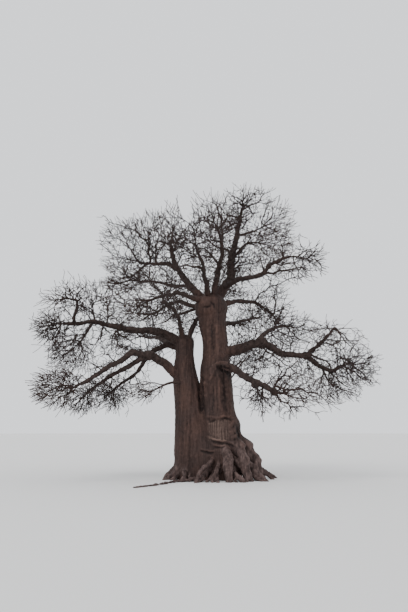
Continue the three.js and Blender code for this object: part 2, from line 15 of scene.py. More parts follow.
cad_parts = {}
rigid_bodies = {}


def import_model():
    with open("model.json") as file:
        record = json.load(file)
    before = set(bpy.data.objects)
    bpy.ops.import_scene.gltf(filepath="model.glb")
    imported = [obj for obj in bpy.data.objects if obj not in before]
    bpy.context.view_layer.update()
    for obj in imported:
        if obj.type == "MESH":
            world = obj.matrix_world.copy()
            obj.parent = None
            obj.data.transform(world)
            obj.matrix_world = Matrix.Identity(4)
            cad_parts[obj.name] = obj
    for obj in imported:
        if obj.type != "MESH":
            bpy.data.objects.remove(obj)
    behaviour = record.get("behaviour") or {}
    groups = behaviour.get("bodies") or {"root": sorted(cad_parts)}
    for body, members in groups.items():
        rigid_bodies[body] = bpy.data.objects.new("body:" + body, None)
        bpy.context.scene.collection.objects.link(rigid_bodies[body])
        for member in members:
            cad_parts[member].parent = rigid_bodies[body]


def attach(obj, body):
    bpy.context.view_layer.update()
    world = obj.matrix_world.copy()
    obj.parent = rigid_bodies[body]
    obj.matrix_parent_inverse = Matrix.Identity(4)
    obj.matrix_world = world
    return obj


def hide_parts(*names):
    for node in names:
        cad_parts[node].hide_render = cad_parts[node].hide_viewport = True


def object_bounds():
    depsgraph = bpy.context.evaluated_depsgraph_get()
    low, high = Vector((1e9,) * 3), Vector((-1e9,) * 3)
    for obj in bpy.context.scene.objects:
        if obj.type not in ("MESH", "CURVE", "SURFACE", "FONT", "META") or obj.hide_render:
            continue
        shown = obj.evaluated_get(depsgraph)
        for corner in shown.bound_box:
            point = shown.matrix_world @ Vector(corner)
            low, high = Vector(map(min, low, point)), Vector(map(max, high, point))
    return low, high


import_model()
CAD_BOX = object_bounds()

bl_info = {
    "name": "Bare baobab tree",
    "version": (1, 0, 0),
    "blender": (4, 5, 0),
    "location": "3D View > Sidebar > Baobab",
    "description": "Bark and fine twigs for a leafless twin-stemmed baobab tree",
    "category": "Object",
}

BODY = "root"

# The camera: where it stands, how many degrees it looks up, and its lens and sensor in millimetres
EYE = np.array([-0.141, -21.7, 1.65])
LOOKS_UP = 11.86
LENS = 35
SENSOR = 36

# The stage: each lamp's place, width in degrees and strength, and the plain floor and sky
LAMPS = [("key light", (-9, -14, 16), 35, 1.7), ("fill light", (14, -9, 8), 70, 0.5)]
FLOOR_RADIUS = 400
FLOOR_SIDES = 96
FLOOR_COLOUR = (0.66, 0.655, 0.645)
SKY_COLOUR = (0.82, 0.84, 0.87, 1)
SKY_STRENGTH = 1.6

# Where the seeds of each kind of limb and twig start
BOUGH_SEED = 1
MASS_SEED = 101
SHOOT_SEED = 301
ROOT_SEED = 501

# Limbs
FORK_HEIGHT = 3.55
ABOVE_ALL = 13  # higher than any limb
LIMB_RING_STEP = 0.52
FEWEST_RINGS = 4
MEASURING_STEPS = 200  # of a curve whose length is measured
LIMB_CROOK = 0.05
LIMB_TAPER = 0.8
LIMB_COLLAR = 0.3
BARK_COLLAR = 0.0  # none, so that the crotches between the boughs stay open
COLLAR_FADE = 9
HIDDEN_START = 0.7  # share of a bough's girth at its very start, inside what carries it
ROOT_RINGS = 5
ROOT_TAPER = 0.7
ROOT_UNEVEN = 0.2
ROOT_CROOK = 0.07
ROOT_THINNEST = 0.84  # a root's girth is uneven, from this share of it up
ROOT_SWELL = 0.3  # by as much as this
GROUND_ROOT_RINGS = 16
FINE_RINGS = 4  # rings of the bark for each ring of the solids
FOOT_SLIM = 0.8  # share of the stems' girth left at the ground, where roots fill the rest
FOOT_HEIGHT = 0.9  # and from here up it is whole
STEM_CAP = 0.9  # how far the last rings of a stem are lowered, as a share of their radius

# Where the trunk's bark runs out along a bough
STUB_LENGTH = 0.75
STUB_GIRTHS = 1.6  # it is longer by this many of the bough's radii
STUB_PROUD = 1.02  # share of the bough's own girth
STUB_NARROWS_AT = 0.62  # share of the way along
STUB_NARROWING = 0.35

# Fillets where limbs meet
STEM_FILLET = 0.1
RIB_FILLET = 0.22
ROOT_FILLET = 0.035
FOOT_FILLET = 0.11
BOUGH_FILLET = 0.26  # as a share of the bough's radius
LEAST_FILLET = 0.03

# Twigs, by the solids' rule
TWIG_TIP = 0.017  # how thick the solids' twigs are at their tips
TWIG_STEP = 0.43
TWIG_CROOK = 0.1
TWIG_CLEARANCE = 0.006
TWIGS_PER_METRE = 10
FULL_REACH = 1.05
OUTER_REACH = 0.9
INNER_REACH = 0.58
PATH_WEIGHT = 0.2
TURN_WEIGHT = 0.6
TWIG_BEND = 0.35
GOLDEN_ANGLE = math.pi * (3 - math.sqrt(5))
JOINT_GAP = 0.0003

# Finer twigs
EVEN_STEPS = 1.22074408460576 ** -np.arange(1.0, 4.0)  # powers of the root of x**4 = x + 1 spread evenly
EVEN_DEPTH = 1.6  # masses in front of each other share the fine twigs that fill this depth
CROWDING = 0.8  # a large mass has fewer places to try for its room than a small one, by this power
FULLNESS = {  # how many fine twigs some masses and boughs bear, where 1 is usual
    "left_tip_twigs": 1.3, "left_hook_twigs": 0.35, "left_upper_twigs": 0.45, "left_drop_twigs": 1.3,
    "low_left_front_twigs": 1.6, "low_left_middle_twigs": 1.8, "low_left_back_twigs": 1.6,
    "low_left_inner_twigs": 0.7, "back_left_twigs": 1.8, "left_stem_front_twigs": 1.2,
    "mid_left_front_twigs": 0.9, "back_twigs": 1.8, "upper_left_long_twigs": 1.6,
    "upper_left_outer_twigs": 1.15, "upper_left_inner_twigs": 1.4, "left_leader_twigs": 0.55,
    "front_leader_twigs": 0.9, "middle_leader_twigs": 0.8, "right_leader_twigs": 0.3,
    "right_leader_side_twigs": 0.6, "right_inner_twigs": 0.7, "right_rising_twigs": 0.3,
    "right_dipping_twigs": 0.7, "right_hanging_twigs": 1.0, "upper_right_outer_twigs": 0.8,
    "right_middle_twigs": 0.8, "low_right_twigs": 0.5, "low_right_hanging_twigs": 0.4,
    "right_leader": 1.7, "middle_leader": 1.8, "front_leader": 1.5, "left_leader": 1.5,
    "upper_left_bough": 1.5, "great_left_bough": 2.0, "left_stem_front_bough": 2.4,
    "left_stem_back_bough": 2.4, "right_inner_bough": 1.5, "back_right_bough": 1.5,
    "great_right_bough": 1.4, "low_right_bough": 1.2,
}
EDGE_THINNING = 0.6  # share of the fine twigs left out at the edge of a mass
BUNCH_SIZE = 0.42  # fine twigs stand in loose bunches of about this width
BUNCH_GAP = -0.22  # how much room there is between the bunches, from -1, none, to 1
LOWEST_TWIG = 2.1
BOX_MARGIN = 0.08  # fine twigs end within this distance of the solids' own box
JOINT_PARTS = 3  # joints of the fine twigs for each joint of the solids' twigs
FINE_CROOK = 0.14
FINE_BEND = 0.22
FINE_TURN_WEIGHT = 0.9  # fine twigs go on forwards more than the solids' twigs do
INWARD_WEIGHT = 1.1  # and hardly any grows back towards where its spray starts
LONGEST_FINE_TWIG = 0.52
STEM_GIRTH = 0.11  # the stem of a spray of fine twigs is no thicker than this
SPRAY_TAPER = 0.3  # and it grows thinner by this share a metre, besides where it forks
PIPE_POWER = 0.4
TWIG_TINTS = [(1.0, 1.0, 1.0), (1.2, 1.1, 1.05), (0.9, 0.92, 0.98)]  # shares of the twigs' colour

# Side shoots of the boughs, and the side branches that bear more of them
SHOOT_FIRST = 0.14  # share of a bough's length where its own side shoots begin
FIRST_SHOOT_RING = 5
SHOOT_GIRTH = 0.03
SHOOT_POWER = 0.35
SHORTEST_SHOOT = 0.1
BOUGH_WAY = 0.25  # counts as the way to every joint of a bough, so that shoots start all along it
SIDE_START = 1.6  # boughs that end further out than this belong to the left or right side
BRANCH_STEP = 0.2
BRANCH_GIRTH = 0.6  # from the thickness in the table to the radius where the branch starts
BRANCH_TIP = 0.4  # share of that radius at its tip
BRANCH_KINK = 44  # degrees
BRANCH_EVERY = 4  # rings of a bough from one of its evenly spread side branches to the next
EVEN_BRANCH_LENGTH = 0.4
EVEN_BRANCH_SPREAD = 0.5
EVEN_BRANCH_CROOK = 0.16
EVEN_BRANCH_GIRTH = 0.025  # radius for each metre of its length
EVEN_BRANCH_TIP = 0.35
EVEN_BRANCH_FORWARD = 0.55
EVEN_BRANCH_LIFT = np.array([0, 0, 0.1])

# The straight tips of the twigs, and the short spurs along them
CROWN_MIDDLE = np.array([0.0, 0.0, 5.5])
TIP_MARGIN = 0.14  # the very tips end within this distance of the solids' own box
TIP_OUTWARD = 0.5  # a twig's tip turns out of the crown
TIP_ASIDE = 0.2
TIP_LENGTHS = (0.7, 1.3)  # the shortest tip, in spurs, and how much longer others are
SPUR_FORWARD = 0.7
SPUR_ASIDE = 0.75
SPUR_SHORTEST = 0.5

# Tubes
ROUND_SIDES = 8
FINE_SIDES = 5
LIMB_SIDES = 12
ROUND_GIRTH = 0.016  # twigs with this radius or more at their start have the more sides
MORE_UPRIGHT = (0.3, 0.2, 1.0)  # directions that a level or an upright tube never runs along
MORE_LEVEL = (1.0, 0.3, 0.2)

# The two stems, as rings: height, middle x, middle y, half width along x, half width along y
LEFT_STEM = [
    (-0.15, -0.685, 0.15, 0.64, 0.64),
    (0.12, -0.685, 0.15, 0.61, 0.62),
    (0.5, -0.66, 0.15, 0.57, 0.59),
    (1.0, -0.63, 0.15, 0.56, 0.57),
    (1.7, -0.62, 0.15, 0.555, 0.56),
    (2.74, -0.71, 0.15, 0.5, 0.52),
    (3.28, -0.77, 0.15, 0.475, 0.495),
    (3.75, -0.83, 0.15, 0.43, 0.45),
    (4.38, -0.86, 0.15, 0.345, 0.37),
    (4.75, -0.865, 0.15, 0.35, 0.36),
    (5.0, -0.86, 0.145, 0.325, 0.325),
    (5.14, -0.85, 0.13, 0.19, 0.2),
]
RIGHT_STEM = [
    (-0.15, 0.52, -0.1, 0.86, 0.82),
    (0.12, 0.52, -0.1, 0.8, 0.76),
    (0.5, 0.51, -0.1, 0.72, 0.72),
    (1.05, 0.53, -0.1, 0.7, 0.7),
    (1.6, 0.51, -0.09, 0.665, 0.67),
    (2.2, 0.38, -0.06, 0.61, 0.63),
    (2.74, 0.34, -0.05, 0.58, 0.6),
    (3.46, 0.3, -0.04, 0.58, 0.59),
    (3.85, 0.29, -0.03, 0.57, 0.57),
    (4.3, 0.3, -0.02, 0.5, 0.52),
    (4.9, 0.27, 0.0, 0.465, 0.49),
    (5.5, 0.18, 0.0, 0.5, 0.5),
    (6.06, 0.165, 0.0, 0.53, 0.51),
    (6.38, 0.13, 0.0, 0.59, 0.5),
    (6.54, 0.14, 0.0, 0.46, 0.4),
    (6.64, 0.16, 0.0, 0.25, 0.23),
]

# The rib between the stems where they have grown together: its points, and its thickness at each
SEAM = [(-0.20, -0.02, -0.15), (-0.18, -0.04, 0.60), (-0.18, -0.02, 1.30), (-0.20, 0.02, 1.90),
        (-0.23, 0.10, 2.45)]
SEAM_THICK = [0.80, 0.74, 0.68, 0.56, 0.20]

# Root flare: stem, bearing in degrees, rise on the stem, reach from the stem's middle, thickness at
# the stem and at the ground, sideways sway, and knee from 0, low and sweeping, to 1, a shoulder.
ROOTS = [
    (RIGHT_STEM, 277, 1.18, 1.38, 0.52, 0.19, 0.04, 0.9),
    (RIGHT_STEM, 295, 0.64, 1.50, 0.23, 0.13, -0.09, 0.4),
    (RIGHT_STEM, 255, 0.78, 1.40, 0.24, 0.11, 0.07, 0.5),
    (RIGHT_STEM, 238, 0.62, 1.58, 0.23, 0.11, -0.06, 0.3),
    (RIGHT_STEM, 221, 0.40, 1.75, 0.19, 0.09, 0.05, 0.1),
    (RIGHT_STEM, 313, 1.48, 1.30, 0.60, 0.16, -0.08, 1.0),
    (RIGHT_STEM, 326, 0.82, 1.65, 0.28, 0.14, 0.09, 0.5),
    (RIGHT_STEM, 343, 1.50, 1.35, 0.56, 0.20, 0.06, 1.0),
    (RIGHT_STEM, 2, 1.62, 1.27, 0.54, 0.26, -0.04, 1.0),
    (RIGHT_STEM, 13, 0.76, 1.95, 0.28, 0.11, 0.06, 0.5),
    (RIGHT_STEM, 34, 1.20, 1.56, 0.44, 0.15, 0.09, 0.7),
    (RIGHT_STEM, 66, 0.85, 1.56, 0.38, 0.13, -0.09, 0.4),
    (RIGHT_STEM, 104, 1.05, 1.56, 0.44, 0.15, 0.07, 0.7),
    (LEFT_STEM, 76, 0.52, 1.13, 0.33, 0.11, -0.06, 0.4),
    (LEFT_STEM, 122, 0.62, 1.20, 0.38, 0.13, 0.06, 0.5),
    (LEFT_STEM, 170, 0.46, 0.93, 0.33, 0.13, -0.04, 0.6),
    (LEFT_STEM, 214, 0.42, 0.96, 0.28, 0.11, 0.05, 0.4),
    (LEFT_STEM, 254, 0.38, 1.00, 0.26, 0.09, 0.04, 0.3),
]
# Thinner roots between those, which the solids leave out
THIN_ROOTS = [
    (RIGHT_STEM, 286, 0.55, 1.48, 0.15, 0.07, 0.07, 0.5),
    (RIGHT_STEM, 304, 0.95, 1.42, 0.20, 0.09, -0.06, 0.8),
    (RIGHT_STEM, 320, 0.62, 1.58, 0.17, 0.08, 0.08, 0.4),
    (RIGHT_STEM, 335, 0.95, 1.52, 0.21, 0.09, -0.07, 0.8),
    (RIGHT_STEM, 353, 0.66, 1.72, 0.19, 0.08, 0.09, 0.5),
    (RIGHT_STEM, 264, 0.50, 1.52, 0.14, 0.07, -0.06, 0.4),
    (RIGHT_STEM, 247, 0.52, 1.52, 0.15, 0.07, 0.05, 0.4),
    (RIGHT_STEM, 229, 0.34, 1.68, 0.13, 0.06, -0.05, 0.2),
    (RIGHT_STEM, 22, 0.90, 1.62, 0.22, 0.09, -0.08, 0.6),
    (RIGHT_STEM, 48, 0.62, 1.60, 0.20, 0.09, 0.08, 0.4),
    (RIGHT_STEM, 84, 0.66, 1.52, 0.20, 0.09, -0.06, 0.5),
    (LEFT_STEM, 98, 0.40, 1.14, 0.20, 0.08, 0.05, 0.3),
    (LEFT_STEM, 146, 0.42, 1.02, 0.20, 0.08, -0.05, 0.5),
    (LEFT_STEM, 192, 0.34, 0.95, 0.17, 0.07, 0.05, 0.3),
    (LEFT_STEM, 234, 0.32, 0.98, 0.16, 0.06, -0.04, 0.3),
    (LEFT_STEM, 270, 0.26, 0.92, 0.13, 0.05, 0.04, 0.3),
    (RIGHT_STEM, 238, 0.92, 1.85, 0.22, 0.10, 0.05, 0.8),
]
# The long thin root along the ground: its points, and its thickness at both ends
GROUND_ROOT = [(-0.12, -0.78, 0.16), (-0.56, -1.15, 0.07), (-1.13, -1.6, 0.04), (-1.6, -2.6, 0.03),
               (-2.22, -3.42, 0.015)]
GROUND_ROOT_THICK = (0.11, 0.06)

# Boughs: name, thickness at the start and at the tip, and points from the start to the tip
BOUGHS = [
    ("great_left_bough", 0.4, 0.11, [(-0.84, 0.15, 4.79), (-1.5, -0.02, 5.11), (-2.12, -0.2, 5.26),
     (-3.21, -0.5, 5.31), (-4.14, -0.7, 5.49), (-5.18, -0.9, 5.38)]),
    ("low_left_bough", 0.39, 0.09, [(-0.86, 0.1, 3.45), (-1.53, -0.1, 4.03), (-2.02, -0.4, 4.3),
     (-2.72, -0.8, 4.34), (-3.37, -1.25, 3.84), (-4.12, -1.7, 3.25), (-4.45, -1.9, 3.06)]),
    ("back_left_bough", 0.33, 0.12, [(-0.89, 0.25, 4.7), (-1.68, 1.5, 5.12), (-2.42, 3.0, 5.48)]),
    ("left_stem_front_bough", 0.21, 0.09, [(-0.88, 0.05, 4.88), (-1.03, -0.8, 5.53),
     (-1.36, -2.4, 5.78)]),
    ("left_stem_back_bough", 0.23, 0.1, [(-0.76, 0.2, 4.88), (-0.46, 1.0, 5.82), (-0.16, 2.0, 6.5),
     (0.3, 3.2, 7.3)]),
    ("great_right_bough", 0.46, 0.15, [(0.3, -0.1, 4.28), (1.12, -0.18, 4.56), (1.54, -0.25, 4.72),
     (1.97, -0.3, 4.78), (2.58, -0.42, 4.39), (3.27, -0.58, 4.28), (3.62, -0.68, 4.3)]),
    ("low_right_bough", 0.31, 0.17, [(0.36, -0.25, 4.05), (0.83, -0.75, 3.83), (1.17, -0.97, 3.56),
     (1.6, -1.22, 3.3), (2.2, -1.6, 2.95)]),
    ("right_middle_bough", 0.21, 0.09, [(0.25, 0.05, 6.22), (1.16, 0.6, 6.53), (1.91, 1.2, 6.58),
     (2.6, 1.8, 6.26)]),
    ("back_right_bough", 0.23, 0.1, [(0.3, 0.1, 5.35), (1.05, 1.35, 5.8), (2.0, 2.9, 6.3)]),
    ("right_leader", 0.4, 0.1, [(0.3, 0.0, 6.35), (0.88, 0.1, 7.31), (0.93, 0.2, 8.25),
     (1.14, 0.35, 9.1), (1.27, 0.4, 9.73), (1.34, 0.4, 10.15)]),
    ("left_leader", 0.33, 0.13, [(0.0, 0.0, 6.3), (-0.81, -0.2, 7.12), (-1.09, -0.4, 7.49),
     (-1.32, -0.6, 8.04)]),
    ("middle_leader", 0.25, 0.11, [(0.2, -0.1, 6.42), (0.37, -0.7, 7.29), (0.52, -1.2, 7.79),
     (0.46, -1.6, 8.29)]),
    ("front_leader", 0.21, 0.1, [(0.04, -0.15, 6.42), (-0.06, -0.9, 6.9), (-0.15, -1.9, 7.08),
     (-0.3, -2.9, 7.3)]),
    ("mid_left_front_bough", 0.19, 0.08, [(-0.1, -0.15, 6.35), (-1.03, -1.0, 6.47), (-1.49, -1.7, 6.24),
     (-1.87, -2.4, 5.91)]),
    ("mid_left_back_bough", 0.19, 0.08, [(-0.1, 0.15, 6.18), (-1.03, 0.9, 6.56), (-1.7, 1.6, 6.54),
     (-2.27, 2.2, 6.34)]),
    ("upper_left_bough", 0.21, 0.1, [(-1.08, -0.39, 7.48), (-1.45, -0.2, 7.77), (-2.0, 0.1, 7.85),
     (-2.45, 0.35, 7.95)]),
    ("upper_right_bough", 0.22, 0.08, [(0.61, 0.0, 6.9), (1.09, -0.9, 7.0), (1.82, -2.2, 6.84),
     (2.07, -2.5, 7.1), (2.55, -2.85, 7.24), (2.98, -3.05, 7.2)]),
    ("upper_left_long_bough", 0.18, 0.08, [(-0.5, -0.12, 6.8), (-0.88, 0.3, 7.05), (-1.84, 1.4, 7.45),
     (-2.77, 2.4, 7.76)]),
    ("left_hook_bough", 0.13, 0.07, [(-4.8, -0.84, 5.44), (-4.66, -0.9, 5.95), (-4.68, -0.9, 6.22),
     (-4.97, -0.92, 6.28)]),
    ("low_left_middle_bough", 0.23, 0.1, [(-2.2, -0.5, 4.3), (-2.77, -0.6, 3.91), (-3.48, -0.5, 3.56),
     (-4.09, -0.4, 3.15)]),
    ("right_rising_bough", 0.18, 0.09, [(3.5, -0.645, 4.295), (4.19, -0.6, 4.87), (4.56, -0.5, 5.29)]),
    ("right_dipping_bough", 0.19, 0.11, [(3.43, -0.625, 4.29), (3.92, -0.85, 3.86), (4.34, -1.0, 3.7),
     (4.78, -1.1, 3.92)]),
    ("right_inner_bough", 0.21, 0.09, [(1.75, -0.275, 4.76), (2.27, 0.4, 5.33), (3.01, 1.4, 5.7)]),
    ("inner_left_bough", 0.27, 0.09, [(-0.88, 0.25, 4.62), (-1.52, 0.45, 4.83), (-2.08, 0.42, 4.55),
     (-2.36, 0.4, 4.21), (-2.73, 0.35, 3.66), (-3.37, 0.3, 3.21)]),
]

# Knots of the boughs, where a limb was lost or forks: the middle and the radius
KNOTS = [
    ((2.20, -1.62, 2.92), 0.14),
    ((1.62, -1.25, 3.22), 0.15),
    ((1.97, -0.30, 4.78), 0.21),
    ((3.46, -0.62, 4.28), 0.14),
    ((2.02, -2.42, 7.04), 0.085),
    ((-1.30, -0.56, 7.98), 0.10),
    ((-2.14, -0.46, 4.29), 0.17),
    ((-3.22, -0.50, 5.30), 0.13),
    ((-4.16, -0.70, 5.48), 0.10),
    ((0.90, 0.14, 7.50), 0.17),
]

# Masses of twigs: name, bough, middle and reach of the space, then for a stem that leaves the middle
# of a limb its start, its thickness and the points it passes
MASSES = [
    ("left_tip_twigs", "great_left_bough", (-5.58, -0.98, 5.29), (0.7, 0.95, 0.56)),
    ("left_hook_twigs", "left_hook_bough", (-5.42, -0.92, 6.22), (0.74, 0.85, 0.56)),
    ("left_upper_twigs", "great_left_bough", (-4.28, -0.4, 6.48), (0.82, 0.95, 0.68),
     (-4.04, -0.68, 5.48), 0.08, [(-4.18, -0.56, 6.08)]),
    ("left_drop_twigs", "great_left_bough", (-4.72, -1.2, 4.4), (0.85, 1.0, 0.72), (-4.14, -0.7, 5.47),
     0.13, [(-4.33, -0.9, 4.99), (-4.57, -1.1, 4.6)]),
    ("low_left_front_twigs", "low_left_bough", (-4.95, -2.1, 3.08), (0.85, 1.05, 0.68)),
    ("low_left_middle_twigs", "low_left_middle_bough", (-4.5, -0.3, 2.82), (0.8, 0.85, 0.56)),
    ("low_left_back_twigs", "inner_left_bough", (-3.75, 0.85, 2.95), (0.85, 1.1, 0.56)),
    ("low_left_inner_twigs", "trunk", (-2.15, -1.0, 3.0), (0.65, 0.8, 0.38), (-0.74, 0.0, 3.33), 0.11,
     [(-1.28, -0.5, 3.33), (-1.8, -0.85, 3.08)]),
    ("back_left_twigs", "back_left_bough", (-2.85, 3.75, 5.65), (1.3, 1.25, 0.95)),
    ("left_stem_front_twigs", "left_stem_front_bough", (-1.5, -3.35, 5.95), (1.05, 1.25, 0.8)),
    ("mid_left_front_twigs", "mid_left_front_bough", (-2.45, -3.0, 5.75), (1.05, 1.15, 0.65)),
    ("mid_left_back_twigs", "mid_left_back_bough", (-3.05, 2.5, 6.45), (1.15, 1.15, 0.65)),
    ("back_twigs", "left_stem_back_bough", (0.5, 3.85, 7.9), (1.45, 1.3, 1.05)),
    ("upper_left_long_twigs", "upper_left_long_bough", (-3.45, 2.6, 8.1), (1.15, 1.3, 0.88)),
    ("upper_left_outer_twigs", "upper_left_bough", (-3.12, 0.7, 8.78), (1.18, 1.3, 1.05)),
    ("upper_left_inner_twigs", "upper_left_bough", (-2.1, 0.25, 8.95), (0.9, 1.3, 1.05),
     (-1.95, 0.07, 7.85), 0.1, [(-1.99, 0.16, 8.35)]),
    ("left_leader_twigs", "left_leader", (-1.3, -0.8, 8.85), (0.85, 1.25, 1.08)),
    ("front_leader_twigs", "front_leader", (-0.45, -3.75, 7.85), (1.25, 1.35, 0.9)),
    ("middle_leader_twigs", "middle_leader", (0.18, -1.75, 8.95), (1.0, 1.2, 1.02)),
    ("crown_back_twigs", "right_leader", (0.0, 2.0, 9.45), (1.15, 1.35, 0.95), (0.94, 0.21, 8.3), 0.12,
     [(0.5, 1.0, 8.8)]),
    ("right_leader_twigs", "right_leader", (1.48, 0.38, 10.33), (0.98, 1.15, 0.95)),
    ("right_leader_side_twigs", "right_leader", (2.65, 1.05, 9.9), (0.95, 1.2, 0.93),
     (1.12, 0.34, 9.05), 0.13, [(1.86, 0.6, 9.35), (2.29, 0.85, 9.65)]),
    ("upper_right_inner_twigs", "right_leader", (2.25, -0.65, 8.35), (1.08, 1.2, 0.76),
     (0.92, 0.19, 8.1), 0.12, [(1.34, -0.1, 8.48), (1.74, -0.4, 8.56)]),
    ("upper_right_outer_twigs", "upper_right_bough", (3.08, -3.05, 7.02), (1.15, 1.05, 0.56)),
    ("right_middle_twigs", "right_middle_bough", (2.78, 2.0, 6.76), (0.85, 1.15, 0.85)),
    ("back_right_twigs", "back_right_bough", (2.5, 3.65, 6.65), (1.25, 1.3, 0.95)),
    ("low_back_twigs", "trunk", (1.5, 3.4, 4.65), (1.2, 1.3, 0.85), (0.4, 0.2, 3.2), 0.19,
     [(0.9, 1.3, 3.65), (1.2, 2.5, 4.25)]),
    ("right_inner_twigs", "right_inner_bough", (3.5, 1.7, 5.68), (1.08, 1.2, 0.68)),
    ("right_rising_twigs", "right_rising_bough", (4.78, -0.55, 5.0), (1.2, 1.35, 0.68)),
    ("right_dipping_twigs", "right_dipping_bough", (5.15, -1.2, 3.72), (1.05, 1.25, 0.72)),
    ("right_hanging_twigs", "right_dipping_bough", (4.35, -1.0, 3.15), (0.88, 1.0, 0.52),
     (4.0, -0.88, 3.81), 0.09, [(4.12, -0.95, 3.45)]),
    ("low_right_twigs", "low_right_bough", (2.85, -2.15, 3.0), (1.05, 1.15, 0.62)),
    ("low_right_hanging_twigs", "low_right_bough", (1.68, -1.9, 2.78), (0.75, 0.95, 0.45),
     (1.6, -1.22, 3.3), 0.08, [(1.64, -1.5, 3.05)]),
]

